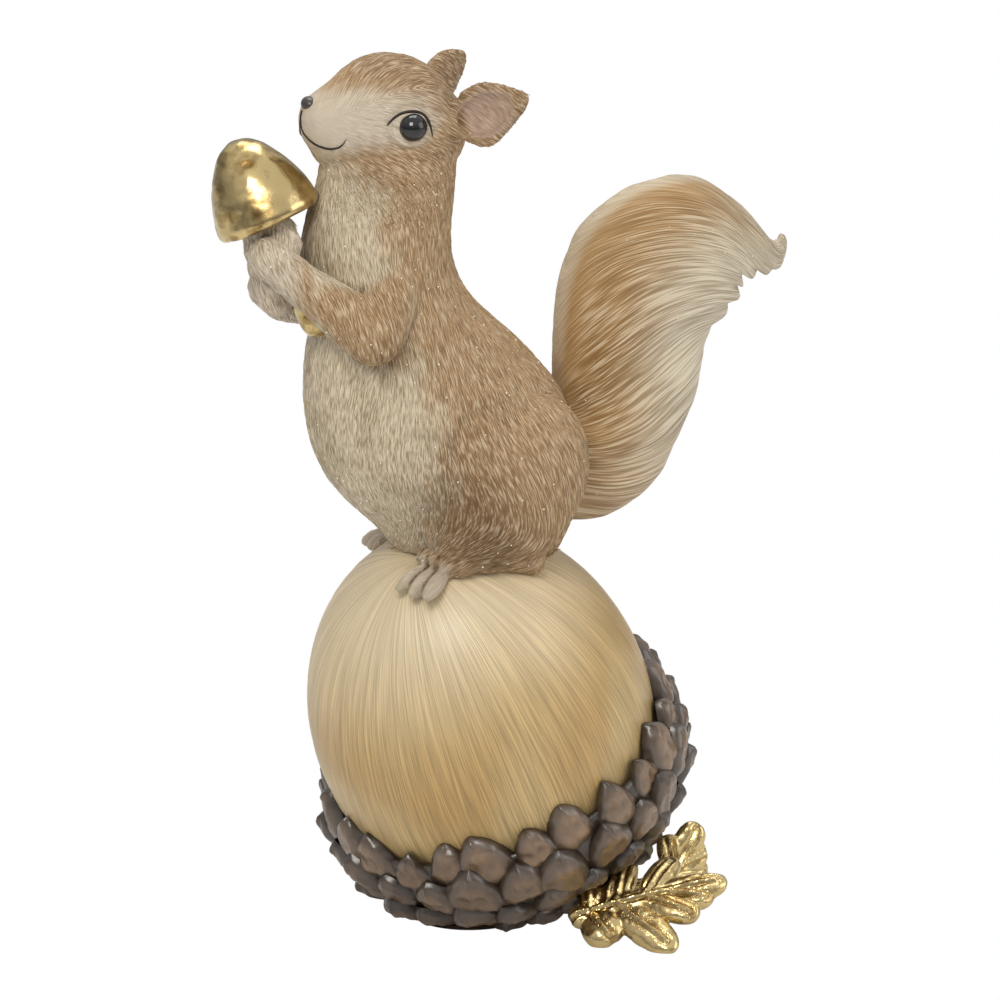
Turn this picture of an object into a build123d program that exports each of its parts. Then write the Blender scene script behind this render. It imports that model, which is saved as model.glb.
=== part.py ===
"""Squirrel figurine: a cast resin squirrel that sits on a leaning acorn and holds a gilded mushroom.

Millimetres, +Z up. The origin is the centre of the felt disc that the figurine stands on.
The squirrel faces -X, so its left side faces -Y. Every casting is a separate solid, glued on pegs.
"""

from build123d import *

import os
from math import atan2, cos, degrees, radians, sin, sqrt

# Joints between castings
GLUE_GAP = 0.15
PIN_CLEARANCE = 0.1

# Acorn nut: a hollow casting that leans towards the squirrel's front and left
NUT_RADIUS = 42.6
NUT_TIP_RISE = 52.0
NUT_WALL = 7.0
NUT_MOUTH_RADIUS = 24.0
ACORN_LEAN = 29.5
ACORN_HEADING = 30.5

# Acorn cup: a thick bowl with rows of overlapping scales
CUP_DROP = 19.5
CUP_RADIUS = 44.6
CUP_DEPTH = 30.5
CUP_RIM_RISE = 9.0
CUP_CENTRE_HEIGHT = 35.0
CUP_SETBACK = 14.4
SCALE_COUNT = 24
SCALE_WIDTH = 13.4
SCALE_LENGTH = 16.0
SCALE_THICKNESS = 3.9
SCALE_ROOT_DEPTH = 3.4
SCALE_DOME_RADIUS = 16.0
SCALE_LIFT = 8.0
SCALE_ROW_SHARES = [-0.12, 0.14, 0.38, 0.58, 0.76]
SCALE_TAPER_SHARES = [0.92, 1.0, 0.96, 0.84, 0.66]
OGIVE_BULGE_SHARE = 0.47
OGIVE_SHOULDER_SHARE = 0.52

FOOT_RADIUS = 15.5
FOOT_DEPTH = 9.0

# Felt disc under the cup
FELT_RADIUS = 13.5
FELT_THICKNESS = 1.0

# Where the squirrel sits, from the nut's centre
SEAT_AHEAD = 2.0
SEAT_OUT = 3.0
SEAT_RISE = 47.0

# Squirrel body: a pear of level ovals, from below the seat to the top of the neck
TORSO_HEIGHT = 104.0
TORSO_DEPTH = 66.0
TORSO_WIDTH = 58.0
TORSO_SECTION_SHARES = [
    # height, centre, depth, width
    (-0.090, 0.020, 0.485, 0.517),
    (0.000, -0.010, 0.682, 0.724),
    (0.074, -0.045, 0.827, 0.862),
    (0.151, -0.098, 0.950, 0.948),
    (0.238, -0.138, 1.010, 1.000),
    (0.343, -0.178, 0.998, 0.983),
    (0.430, -0.226, 0.904, 0.914),
    (0.516, -0.282, 0.758, 0.810),
    (0.603, -0.348, 0.615, 0.707),
    (0.700, -0.403, 0.575, 0.620),
    (0.805, -0.400, 0.560, 0.575),
    (0.910, -0.368, 0.525, 0.550),
    (1.000, -0.335, 0.500, 0.530),
]
HAUNCH_LENGTH = 50.0
HAUNCH_DEPTH = 40.0
HAUNCH_WIDTH = 30.0
HAUNCH_BACK = 0.5
HAUNCH_OUT = 17.5
HAUNCH_RISE = 17.5
HAUNCH_TILT = 38.0

# Hind feet: they lie along the nut
HEEL_BACK = 9.0
HEEL_OUT = 20.5
TOE_ROOT_OUT = 20.0
LEFT_TOE_ROOT_AHEAD = 17.0
RIGHT_TOE_ROOT_AHEAD = 13.0
PAD_WIDTH = 11.0
PAD_HEIGHT = 8.5
PAD_LIFT_SHARE = 0.32
PAD_SECTION_SHARES = [
    # place, width, height
    (0.00, 0.55, 0.60),
    (0.18, 0.86, 1.00),
    (0.50, 0.90, 0.95),
    (0.80, 1.00, 0.80),
    (1.00, 0.95, 0.66),
]
TOE_COUNT = 4
TOE_LENGTH = 11.5
TOE_WIDTH = 3.8
TOE_HEIGHT = 4.8
TOE_FAN = 11.0
TOE_DROP = 1.6
TOE_REACH_SHARE = 0.30

# Head: an egg of upright ovals, from the muzzle to the back of the skull
HEAD_LENGTH = 44.5
HEAD_HEIGHT = 32.4
HEAD_WIDTH = 34.4
HEAD_AHEAD = 1.0
HEAD_RISE = 6.4
HEAD_CENTRE_SHARE = 0.55
HEAD_SECTION_SHARES = [
    # place from the muzzle, centre height, height, width
    (0.034, -0.003, 0.346, 0.280),
    (0.112, -0.031, 0.580, 0.477),
    (0.236, -0.031, 0.800, 0.670),
    (0.393, 0.000, 0.957, 0.872),
    (0.550, 0.000, 1.000, 1.000),
    (0.708, -0.015, 0.914, 0.988),
    (0.865, -0.071, 0.680, 0.756),
    (0.955, -0.117, 0.370, 0.436),
]
HEAD_TIP_SHARE = 0.006
HEAD_NAPE_SHARE = -0.130

# Ears: hollowed leaves, swept back
EAR_LENGTH = 21.5
EAR_WIDTH = 16.0
EAR_THICKNESS = 6.4
EAR_BACK = 20.4
EAR_OUT = 18.0
EAR_RISE = 3.2
EAR_SWEEP = (0.76, -0.51, 0.41)
EAR_FACING = (-0.603, -0.786, 0.136)
EAR_HOLLOW_SHARES = (0.68, 0.66, 0.86)
EAR_HOLLOW_LIFT_SHARE = 0.36
EAR_HOLLOW_SHIFT_SHARE = -0.04
EAR_SECTION_SHARES = [
    # place along the ear, width, thickness
    (0.00, 0.52, 0.80),
    (0.20, 0.90, 1.00),
    (0.44, 1.00, 0.94),
    (0.70, 0.78, 0.74),
    (0.88, 0.44, 0.46),
]
EAR_TIP_RISE_SHARE = 0.06

# Eyes: glossy beads set in sockets
EYE_RADIUS = 3.6
EYE_AHEAD = 0.4
EYE_RISE = 0.2
EYE_PROUD = 1.7

# Arms
SHOULDER_AHEAD = 27.0
SHOULDER_OUT = 13.5
SHOULDER_RISE = 69.0
ELBOW_AHEAD = 35.0
ELBOW_OUT = 20.0
ELBOW_RISE = 59.5
LEFT_WRIST_AHEAD = 50.5
RIGHT_WRIST_AHEAD = 47.5
WRIST_OUT = 12.0
LEFT_PAW_AHEAD = 57.6
RIGHT_PAW_AHEAD = 52.6
PAW_OUT = 7.5
LEFT_WRIST_RISE = 71.5
LEFT_PAW_RISE = 78.0
RIGHT_WRIST_RISE = 62.0
RIGHT_PAW_RISE = 66.5
SHOULDER_RADIUS = 7.6
ELBOW_RADIUS = 7.6
WRIST_RADIUS = 5.4
PAW_RADIUS = 5.2
PAW_LENGTH = 12.0

# Mushroom
CAP_RADIUS = 13.4
CAP_HEIGHT = 22.2
CAP_HOLLOW_DEPTH = 3.0
CAP_LIP = 1.6
CAP_BULGE_SHARES = (0.71, 0.64)
STEM_RADIUS = 3.2
STEM_FOOT_RADIUS = 4.0
STEM_LENGTH = 31.2
STEM_TENON_LENGTH = 8.0
STEM_FOOT_AHEAD = 43.6
STEM_FOOT_OUT = 6.5
STEM_FOOT_RISE = 57.0
STEM_LEAN = (-0.34, 0.27, 0.90)

# Tail: a plume of ovals, each set across two points of its side outline
TAIL_REACH = 70.0
TAIL_HEIGHT = 92.0
TAIL_THICKNESS = 28.0
TAIL_ROOT_BACK = 13.0
TAIL_ROOT_DROP = 2.0
TAIL_SECTION_SHARES = [
    # front edge back, front edge up, rear edge back, rear edge up, thickness
    (0.010, 0.345, 0.010, 0.050, 0.60),
    (0.100, 0.410, 0.305, 0.042, 0.80),
    (0.104, 0.508, 0.505, 0.152, 0.95),
    (0.106, 0.616, 0.618, 0.338, 1.00),
    (0.128, 0.725, 0.678, 0.505, 1.00),
    (0.212, 0.860, 0.738, 0.584, 0.96),
    (0.405, 0.964, 0.795, 0.633, 0.84),
    (0.635, 0.980, 0.820, 0.669, 0.64),
    (0.805, 0.899, 0.878, 0.682, 0.42),
    (0.912, 0.790, 0.942, 0.693, 0.20),
]
TAIL_TIP_SHARES = (0.985, 0.763)

# Steel pins inside the glued joints
SEAT_PIN_RADIUS = 2.5
SEAT_PIN_SPACING = 20.0
SEAT_PIN_DEPTH = 14.0
SEAT_PIN_TAIL = 2.0
NECK_PIN_RADIUS = 2.5
NECK_PIN_DEPTH = 10.0
TAIL_PIN_RADIUS = 2.0
TAIL_PIN_DEPTH = 13.0
TAIL_PIN_BACK = 26.0
TAIL_PIN_RISE = 22.0

# Gilded oak leaves and the stalk that carries them
LEAF_THICKNESS = 1.8
FRONT_LEAF_LENGTH = 36.0
FRONT_LEAF_WIDTH = 41.0
FRONT_LEAF_BASE = (18.0, -36.0, 6.4)
FRONT_LEAF_ALONG = (0.964, -0.01, 0.245)
FRONT_LEAF_ACROSS = (0.20, 0.92, 0.20)
REAR_LEAF_LENGTH = 20.0
REAR_LEAF_WIDTH = 20.0
REAR_LEAF_BASE = (41.0, -15.0, 9.5)
REAR_LEAF_ALONG = (0.66, -0.25, 0.71)
REAR_LEAF_ACROSS = (-0.10, 0.92, 0.38)
LEAF_BEND_SHARE = 1.4
LEAF_BLADE_SHARE = 0.46
LEAF_LOBE_SPLAY = 62.0
LEAF_LOBE_SHARES = [
    # root along the midrib, reach, breadth
    (0.06, 0.62, 0.40),
    (0.26, 0.98, 0.46),
    (0.50, 0.92, 0.46),
    (0.70, 0.60, 0.36),
]
STALK_RADIUS = 2.2
STALK_ROOT = (18.0, -15.0, 5.0)


def unit(direction):
    """A direction as a vector of length one."""
    return Vector(*direction).normalized()


def ellipsoid(radii, place):
    """A unit ball stretched to three radii and set on a plane."""
    return place * scale(Sphere(1), by=radii)


def oval(centre, across, normal, across_radius, other_radius):
    """An ellipse about a centre, its first radius along across."""
    return Plane(origin=centre, x_dir=across, z_dir=normal) * Ellipse(across_radius, other_radius)


def pin(start, end, radius):
    """A round bar between two points."""
    axis = end - start
    return Plane(origin=start, z_dir=axis) * Cylinder(
        radius, axis.length, align=(Align.CENTER, Align.CENTER, Align.MIN)
    )


def mirrored(shape):
    """The same piece on the squirrel's other side."""
    return mirror(shape, about=Plane(origin=SEAT, x_dir=(1, 0, 0), z_dir=(0, 1, 0)))


# Frames that the pieces share
LEAN_DIRECTION = Vector(-cos(radians(ACORN_HEADING)), -sin(radians(ACORN_HEADING)), 0)
ACORN_AXIS = LEAN_DIRECTION * sin(radians(ACORN_LEAN)) + Vector(0, 0, cos(radians(ACORN_LEAN)))
CUP_CENTRE = Vector(0, 0, CUP_CENTRE_HEIGHT) - LEAN_DIRECTION * CUP_SETBACK
NUT_CENTRE = CUP_CENTRE + ACORN_AXIS * CUP_DROP
ACORN_FRAME = Plane(origin=NUT_CENTRE, x_dir=(0, 1, 0), z_dir=ACORN_AXIS)
SEAT = NUT_CENTRE + Vector(-SEAT_AHEAD, -SEAT_OUT, SEAT_RISE)
NECK_TOP = SEAT + Vector(TORSO_SECTION_SHARES[-1][1] * TORSO_DEPTH, 0, TORSO_HEIGHT)
HEAD_CENTRE = NECK_TOP + Vector(-HEAD_AHEAD, 0, HEAD_RISE)
FOOT_HEIGHT = FELT_THICKNESS


def nut_blank(growth):
    """The nut's outer form in the acorn's frame, grown by a gap and solid inside."""
    radius = NUT_RADIUS + growth
    return scale(Sphere(1), by=(radius, radius, NUT_TIP_RISE + growth))


def acorn_nut(seat_holes):
    """Hollow nut, open at the base where the cup closes it."""
    shell = nut_blank(0) - nut_blank(-NUT_WALL)
    mouth = Pos(0, 0, -NUT_TIP_RISE) * Cylinder(NUT_MOUTH_RADIUS, NUT_TIP_RISE)
    return ACORN_FRAME * (shell - mouth) - seat_holes


def cup_scale(width, length):
    """One domed scale with a pointed arch for its outline, its tip along +Y and its root at the origin."""
    half = width / 2
    shoulder = length * OGIVE_SHOULDER_SHARE
    bulge = width * OGIVE_BULGE_SHARE
    left = ThreePointArc((-half, 0), (-bulge, shoulder), (0, length))
    right = ThreePointArc((0, length), (bulge, shoulder), (half, 0))
    base = Line((half, 0), (-half, 0))
    slab = extrude(make_face([left, right, base]), SCALE_THICKNESS + SCALE_ROOT_DEPTH)
    dome_height = SCALE_THICKNESS + SCALE_ROOT_DEPTH - SCALE_DOME_RADIUS
    dome = Pos(0, shoulder, dome_height) * Sphere(SCALE_DOME_RADIUS)
    return Pos(0, 0, -SCALE_ROOT_DEPTH) * (slab & dome)


def cup_bowl():
    """The bowl under the scales, in the acorn's frame."""
    ball = Pos(0, 0, -CUP_DROP) * scale(Sphere(1), by=(CUP_RADIUS, CUP_RADIUS, CUP_DEPTH))
    above = Pos(0, 0, CUP_RIM_RISE - CUP_DROP) * Cylinder(
        2 * CUP_RADIUS, 2 * CUP_DEPTH, align=(Align.CENTER, Align.CENTER, Align.MIN)
    )
    return ball - above


def scale_rows():
    """Rows of scales round the bowl, each row half a pitch on from the one above."""
    scales = []
    pitch = 360 / SCALE_COUNT
    for row, (share, taper) in enumerate(zip(SCALE_ROW_SHARES, SCALE_TAPER_SHARES)):
        angle = radians(90 * share)
        radius = CUP_RADIUS * cos(angle)
        height = -CUP_DROP - CUP_DEPTH * sin(angle)
        slope = degrees(atan2(CUP_RADIUS * sin(angle), CUP_DEPTH * cos(angle)))
        scale_blank = cup_scale(SCALE_WIDTH * taper, SCALE_LENGTH * taper)
        seated = Pos(0, -SCALE_LENGTH * taper * OGIVE_SHOULDER_SHARE, 0) * scale_blank
        tilted = Rot(SCALE_LIFT, 0, 0) * seated
        for number in range(SCALE_COUNT):
            turn = pitch * (number + row / 2)
            stand = Rot(0, 0, turn) * Pos(0, -radius, height) * Rot(90 + slope, 0, 0)
            scales.append(stand * tilted)
    return scales


def acorn_cup(stalk):
    """Scaled bowl with a seat for the nut, a flat foot and a socket for the leaf stalk."""
    bowl = cup_bowl().fuse(*scale_rows()) - nut_blank(GLUE_GAP)
    plug = Pos(0, 0, FOOT_HEIGHT) * Cylinder(
        FOOT_RADIUS, FOOT_DEPTH, align=(Align.CENTER, Align.CENTER, Align.MIN)
    )
    below = Pos(0, 0, FOOT_HEIGHT) * Box(
        4 * CUP_RADIUS, 4 * CUP_RADIUS, 2 * CUP_DEPTH, align=(Align.CENTER, Align.CENTER, Align.MAX)
    )
    cup = ACORN_FRAME * bowl + (plug - ACORN_FRAME * nut_blank(GLUE_GAP))
    return cup - below - stalk


def base_felt():
    """Disc that the figurine stands on."""
    return Cylinder(FELT_RADIUS, FELT_THICKNESS, align=(Align.CENTER, Align.CENTER, Align.MIN))


def torso_blank():
    """Level ovals from inside the nut to the top of the neck."""
    ovals = []
    for height, centre, depth, width in TORSO_SECTION_SHARES:
        middle = SEAT + Vector(centre * TORSO_DEPTH, 0, height * TORSO_HEIGHT)
        ovals.append(oval(middle, (1, 0, 0), (0, 0, 1), depth * TORSO_DEPTH / 2, width * TORSO_WIDTH / 2))
    return loft(ovals)


def haunch():
    """The left thigh, leaning back from the knee to the hip."""
    hip = Plane(origin=SEAT + Vector(HAUNCH_BACK, -HAUNCH_OUT, HAUNCH_RISE))
    radii = (HAUNCH_DEPTH / 2, HAUNCH_WIDTH / 2, HAUNCH_LENGTH / 2)
    return ellipsoid(radii, hip.rotated((0, HAUNCH_TILT, 0)))


def body_blank():
    """Torso and both thighs, one casting."""
    left = haunch()
    return torso_blank() + left + mirrored(left)


def head_blank():
    """Upright ovals from the muzzle to the nape."""
    muzzle = HEAD_CENTRE - Vector(HEAD_CENTRE_SHARE * HEAD_LENGTH, 0, 0)
    rings = [Vertex(*(muzzle + Vector(0, 0, HEAD_TIP_SHARE * HEAD_HEIGHT)))]
    for place, centre, height, width in HEAD_SECTION_SHARES:
        middle = muzzle + Vector(place * HEAD_LENGTH, 0, centre * HEAD_HEIGHT)
        rings.append(oval(middle, (0, 1, 0), (1, 0, 0), width * HEAD_WIDTH / 2, height * HEAD_HEIGHT / 2))
    rings.append(Vertex(*(muzzle + Vector(HEAD_LENGTH, 0, HEAD_NAPE_SHARE * HEAD_HEIGHT))))
    return loft(rings)


def ear_blank():
    """The left ear before it meets the head."""
    root = HEAD_CENTRE + Vector(EAR_BACK, -EAR_OUT, EAR_RISE)
    place = Plane(origin=root, x_dir=unit(EAR_SWEEP), z_dir=unit(EAR_FACING))
    radii = (EAR_LENGTH / 2, EAR_WIDTH / 2, EAR_THICKNESS / 2)
    rings = []
    for along, width, thickness in EAR_SECTION_SHARES:
        middle = root + place.x_dir * (along - 1 / 2) * EAR_LENGTH
        rings.append(oval(middle, place.y_dir, place.x_dir, width * radii[1], thickness * radii[2]))
    tip = root + place.x_dir * radii[0] + place.y_dir * EAR_TIP_RISE_SHARE * EAR_WIDTH
    rings.append(Vertex(*tip))
    hollow_radii = tuple(radius * share for radius, share in zip(radii, EAR_HOLLOW_SHARES))
    lift = Pos(EAR_HOLLOW_SHIFT_SHARE * EAR_LENGTH, 0, EAR_HOLLOW_LIFT_SHARE * EAR_THICKNESS)
    return loft(rings) - place * lift * scale(Sphere(1), by=hollow_radii)


def eye_ball(growth):
    """The left eye, or its socket when grown by the glue gap."""
    side = HEAD_WIDTH / 2 - EYE_RADIUS + EYE_PROUD
    return Pos(*(HEAD_CENTRE + Vector(-EYE_AHEAD, -side, EYE_RISE))) * Sphere(EYE_RADIUS + growth)


def arm_blank(wrist_ahead, wrist_rise, paw_ahead, paw_rise):
    """The left arm: upper arm and forearm between round joints, with a paw at the end."""
    joints = [
        (SEAT + Vector(-SHOULDER_AHEAD, -SHOULDER_OUT, SHOULDER_RISE), SHOULDER_RADIUS),
        (SEAT + Vector(-ELBOW_AHEAD, -ELBOW_OUT, ELBOW_RISE), ELBOW_RADIUS),
        (SEAT + Vector(-wrist_ahead, -WRIST_OUT, wrist_rise), WRIST_RADIUS),
        (SEAT + Vector(-paw_ahead, -PAW_OUT, paw_rise), PAW_RADIUS),
    ]
    arm = [Pos(*centre) * Sphere(radius) for centre, radius in joints[:-1]]
    for (start, start_radius), (end, end_radius) in zip(joints, joints[1:]):
        reach = end - start
        first = Plane(origin=start, z_dir=reach) * Circle(start_radius)
        last = Plane(origin=end, z_dir=reach) * Circle(end_radius)
        arm.append(loft([first, last]))
    palm = Plane(origin=joints[-1][0], z_dir=joints[-1][0] - joints[-2][0])
    return ellipsoid((PAW_RADIUS, PAW_RADIUS, PAW_LENGTH / 2), palm).fuse(*arm)


def nut_top(x, y):
    """Height of the nut's surface over a place."""
    over_x, over_y = x - NUT_CENTRE.X, y - NUT_CENTRE.Y
    stretch = 1 / NUT_TIP_RISE**2 - 1 / NUT_RADIUS**2
    along = ACORN_AXIS.X * over_x + ACORN_AXIS.Y * over_y
    square = 1 / NUT_RADIUS**2 + stretch * ACORN_AXIS.Z**2
    linear = 2 * stretch * along * ACORN_AXIS.Z
    rest = (over_x**2 + over_y**2) / NUT_RADIUS**2 + stretch * along**2 - 1
    return NUT_CENTRE.Z + (sqrt(linear**2 - 4 * square * rest) - linear) / (2 * square)


def foot_blank(side, toe_root_ahead):
    """A hind foot laid along the nut, with its toes; side is -1 for the left."""
    spots = []
    for place, width, height in PAD_SECTION_SHARES:
        x = SEAT.X + HEEL_BACK - place * (HEEL_BACK + toe_root_ahead)
        y = SEAT.Y + side * (HEEL_OUT + place * (TOE_ROOT_OUT - HEEL_OUT))
        spots.append(Vector(x, y, nut_top(x, y) + PAD_LIFT_SHARE * height * PAD_HEIGHT))
    steps = [end - start for start, end in zip(spots, spots[1:])]
    steps.append(steps[-1])
    rings = []
    for spot, step, (place, width, height) in zip(spots, steps, PAD_SECTION_SHARES):
        rings.append(oval(spot, (0, 1, 0), step, width * PAD_WIDTH / 2, height * PAD_HEIGHT / 2))
    foot = loft(rings)
    toe_root = Plane(origin=spots[-1] - Vector(0, 0, TOE_DROP), x_dir=(0, 1, 0), z_dir=steps[-1])
    toe_radii = (TOE_WIDTH / 2, TOE_HEIGHT / 2, TOE_LENGTH / 2)
    toe = Pos(0, 0, TOE_REACH_SHARE * TOE_LENGTH) * ellipsoid(toe_radii, Plane.XY)
    for number in range(TOE_COUNT):
        place = number - (TOE_COUNT - 1) / 2
        foot += toe_root * Pos(place * PAD_WIDTH / TOE_COUNT, 0, 0) * Rot(0, place * TOE_FAN, 0) * toe
    return foot


def tail_blank():
    """A plume: an oval across each pair of outline points, the last point its tip."""
    root = SEAT + Vector(TAIL_ROOT_BACK, 0, -TAIL_ROOT_DROP)
    ovals = []
    for front, front_up, rear, rear_up, thickness in TAIL_SECTION_SHARES:
        near = root + Vector(front * TAIL_REACH, 0, front_up * TAIL_HEIGHT)
        far = root + Vector(rear * TAIL_REACH, 0, rear_up * TAIL_HEIGHT)
        across = far - near
        normal = Vector(0, 1, 0).cross(across)
        half_thickness = thickness * TAIL_THICKNESS / 2
        ovals.append(oval((near + far) / 2, across, normal, across.length / 2, half_thickness))
    tip_back, tip_up = TAIL_TIP_SHARES
    ovals.append(Vertex(*(root + Vector(tip_back * TAIL_REACH, 0, tip_up * TAIL_HEIGHT))))
    return loft(ovals)


STEM_FOOT = SEAT + Vector(-STEM_FOOT_AHEAD, -STEM_FOOT_OUT, STEM_FOOT_RISE)
STEM_FRAME = Plane(origin=STEM_FOOT, x_dir=(0, 1, 0), z_dir=unit(STEM_LEAN))


def stem_blank(growth):
    """The mushroom's stem with a rounded foot, grown by a gap when it cuts a seat."""
    foot_radius = STEM_FOOT_RADIUS + growth
    radius = STEM_RADIUS + growth
    top = STEM_LENGTH + STEM_TENON_LENGTH
    foot = JernArc((0, 0), (1, 0), foot_radius, 90)
    side = Line(foot @ 1, (radius, STEM_LENGTH))
    tenon = Polyline((radius, STEM_LENGTH), (radius, top), (0, top), (0, 0))
    return STEM_FRAME * revolve(Plane.XZ * make_face([foot, side, tenon]), Axis.Z)


def mushroom_cap():
    """Bell cap with a rolled lip, a hollow underside and a bore for the stem."""
    bore = STEM_RADIUS + GLUE_GAP
    shoulder, shoulder_up = CAP_BULGE_SHARES
    lip_top = (CAP_RADIUS, 2 * CAP_LIP)
    bulge = (CAP_RADIUS * shoulder, CAP_HEIGHT * shoulder_up)
    dome = Spline((0, CAP_HEIGHT), bulge, lip_top, tangents=[(1, 0), (0, -1)])
    lip = ThreePointArc(lip_top, (CAP_RADIUS - CAP_LIP / 3, CAP_LIP / 2), (CAP_RADIUS - CAP_LIP, 0))
    inside = Polyline(
        (CAP_RADIUS - CAP_LIP, 0),
        (CAP_RADIUS - 2 * CAP_LIP, CAP_HOLLOW_DEPTH),
        (bore, CAP_HOLLOW_DEPTH),
        (bore, STEM_TENON_LENGTH + GLUE_GAP),
        (0, STEM_TENON_LENGTH + GLUE_GAP),
        (0, CAP_HEIGHT),
    )
    cap = revolve(Plane.XZ * make_face([dome, lip, inside]), Axis.Z)
    return STEM_FRAME * Pos(0, 0, STEM_LENGTH) * cap


def leaf_outline(length, half_width):
    """An oval blade with rounded lobes that lean forward on both sides."""
    outline = Pos(length / 2, 0) * Ellipse(length / 2, LEAF_BLADE_SHARE * half_width)
    for root, reach, breadth in LEAF_LOBE_SHARES:
        lobe = Pos(reach * half_width / 2, 0) * Ellipse(reach * half_width / 2, breadth * half_width / 2)
        for splay in (LEAF_LOBE_SPLAY, -LEAF_LOBE_SPLAY):
            outline += Pos(root * length, 0) * Rot(0, 0, splay) * lobe
    return outline


def leaf_frame(base, along, across):
    """A plane on a leaf's base, X along its midrib and Y across its blade."""
    return Plane(origin=base, x_dir=unit(along), z_dir=unit(along).cross(unit(across)))


FRONT_LEAF_FRAME = leaf_frame(FRONT_LEAF_BASE, FRONT_LEAF_ALONG, FRONT_LEAF_ACROSS)
REAR_LEAF_FRAME = leaf_frame(REAR_LEAF_BASE, REAR_LEAF_ALONG, REAR_LEAF_ACROSS)


def oak_leaf(length, width, frame):
    """A lobed outline cut from a shallow shell."""
    bend = LEAF_BEND_SHARE * length
    prism = extrude(leaf_outline(length, width / 2), bend, both=True)
    middle = Pos(length / 2, 0, -bend)
    blade = (prism & (middle * Sphere(bend))) - middle * Sphere(bend - LEAF_THICKNESS)
    return frame * blade


def leaf_stalk(growth):
    """A forked stalk from the cup to the two leaf bases."""
    root = Vector(*STALK_ROOT)
    radius = STALK_RADIUS + growth
    stalk = Pos(*root) * Sphere(radius)
    for base in (Vector(*FRONT_LEAF_BASE), Vector(*REAR_LEAF_BASE)):
        stalk += pin(root, base, radius) + Pos(*base) * Sphere(radius)
    return stalk


def pin_lines():
    """Every hidden pin as start, end and radius."""
    down, up = Vector(0, 0, NUT_WALL + SEAT_PIN_TAIL), Vector(0, 0, SEAT_PIN_DEPTH)
    half_neck, half_tail = Vector(0, 0, NECK_PIN_DEPTH), Vector(TAIL_PIN_DEPTH, 0, 0)
    seats = []
    for side in (-1, 1):
        x, y = SEAT.X, SEAT.Y + side * SEAT_PIN_SPACING / 2
        seats.append(Vector(x, y, nut_top(x, y)))
    neck = HEAD_CENTRE - Vector(0, 0, HEAD_HEIGHT / 2)
    tail = SEAT + Vector(TAIL_PIN_BACK, 0, TAIL_PIN_RISE)
    return {
        "seat_pins": [(seat - down, seat + up, SEAT_PIN_RADIUS) for seat in seats],
        "neck_pin": [(neck - half_neck, neck + half_neck, NECK_PIN_RADIUS)],
        "tail_pin": [(tail - half_tail, tail + half_tail, TAIL_PIN_RADIUS)],
    }


def pin_solids(name, growth):
    """The pins of one joint, grown by a clearance when they cut bores."""
    pins = []
    for start, end, radius in pin_lines()[name]:
        longer = (end - start).normalized() * growth
        pins.append(pin(start - longer, end + longer, radius + growth))
    return pins


def main_piece(shape):
    """The casting itself, without slivers that a cut leaves behind."""
    return max(shape.solids(), key=lambda solid: solid.volume)


def figurine():
    """Every casting and pin, cut to its neighbours, by name."""
    nut = ACORN_FRAME * nut_blank(GLUE_GAP)
    stalk_seat = leaf_stalk(GLUE_GAP)
    stem_seat = stem_blank(GLUE_GAP)
    bores = {name: pin_solids(name, PIN_CLEARANCE) for name in pin_lines()}
    head, body, tail = head_blank(), body_blank(), tail_blank()
    feet = [foot_blank(-1, LEFT_TOE_ROOT_AHEAD), foot_blank(1, RIGHT_TOE_ROOT_AHEAD)]
    left_ear, left_eye, left_socket = ear_blank(), eye_ball(0), eye_ball(GLUE_GAP)
    left_arm = arm_blank(LEFT_WRIST_AHEAD, LEFT_WRIST_RISE, LEFT_PAW_AHEAD, LEFT_PAW_RISE)
    right_arm = mirrored(arm_blank(RIGHT_WRIST_AHEAD, RIGHT_WRIST_RISE, RIGHT_PAW_AHEAD, RIGHT_PAW_RISE))
    front_leaf = oak_leaf(FRONT_LEAF_LENGTH, FRONT_LEAF_WIDTH, FRONT_LEAF_FRAME)
    rear_leaf = oak_leaf(REAR_LEAF_LENGTH, REAR_LEAF_WIDTH, REAR_LEAF_FRAME)
    cup = acorn_cup(stalk_seat)
    castings = {
        "base_felt": base_felt(),
        "acorn_cup": cup,
        "acorn_nut": acorn_nut(bores["seat_pins"]),
        "leaf_stalk": leaf_stalk(0),
        "front_leaf": front_leaf - cup - stalk_seat,
        "rear_leaf": rear_leaf - front_leaf - cup - stalk_seat,
        "squirrel_body": body - head - nut - feet - [bore for joint in bores.values() for bore in joint],
        "squirrel_head": head - left_socket - mirrored(left_socket) - bores["neck_pin"],
        "left_ear": left_ear - head,
        "right_ear": mirrored(left_ear) - head,
        "left_eye": left_eye,
        "right_eye": mirrored(left_eye),
        "left_arm": left_arm - body - stem_seat,
        "right_arm": right_arm - body - stem_seat,
        "left_foot": feet[0] - nut,
        "right_foot": feet[1] - nut,
        "tail": tail - body - nut - bores["tail_pin"],
        "mushroom_stem": stem_blank(0) - body,
        "mushroom_cap": mushroom_cap() - body,
    }
    pieces = {name: main_piece(casting) for name, casting in castings.items()}
    for name in pin_lines():
        pieces[name] = Compound(children=pin_solids(name, 0))
    return pieces


os.makedirs("parts", exist_ok=True)
for name, piece in figurine().items():
    export_step(piece, f"parts/{name}.step")
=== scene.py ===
# %% [markdown]
# # A resin squirrel on an acorn
# A hand-painted figurine: a squirrel sits up on a big acorn and holds a gilded mushroom. It was
# sculpted, cast in resin, brushed with thin paint and gilded. Each cell makes one piece of it. The
# CAD assembly is loaded first, and every piece made here takes its place from it.

# %% Load the frame
import math

import bpy
import numpy as np
from mathutils import Matrix, Vector
from mathutils.bvhtree import BVHTree


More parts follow.
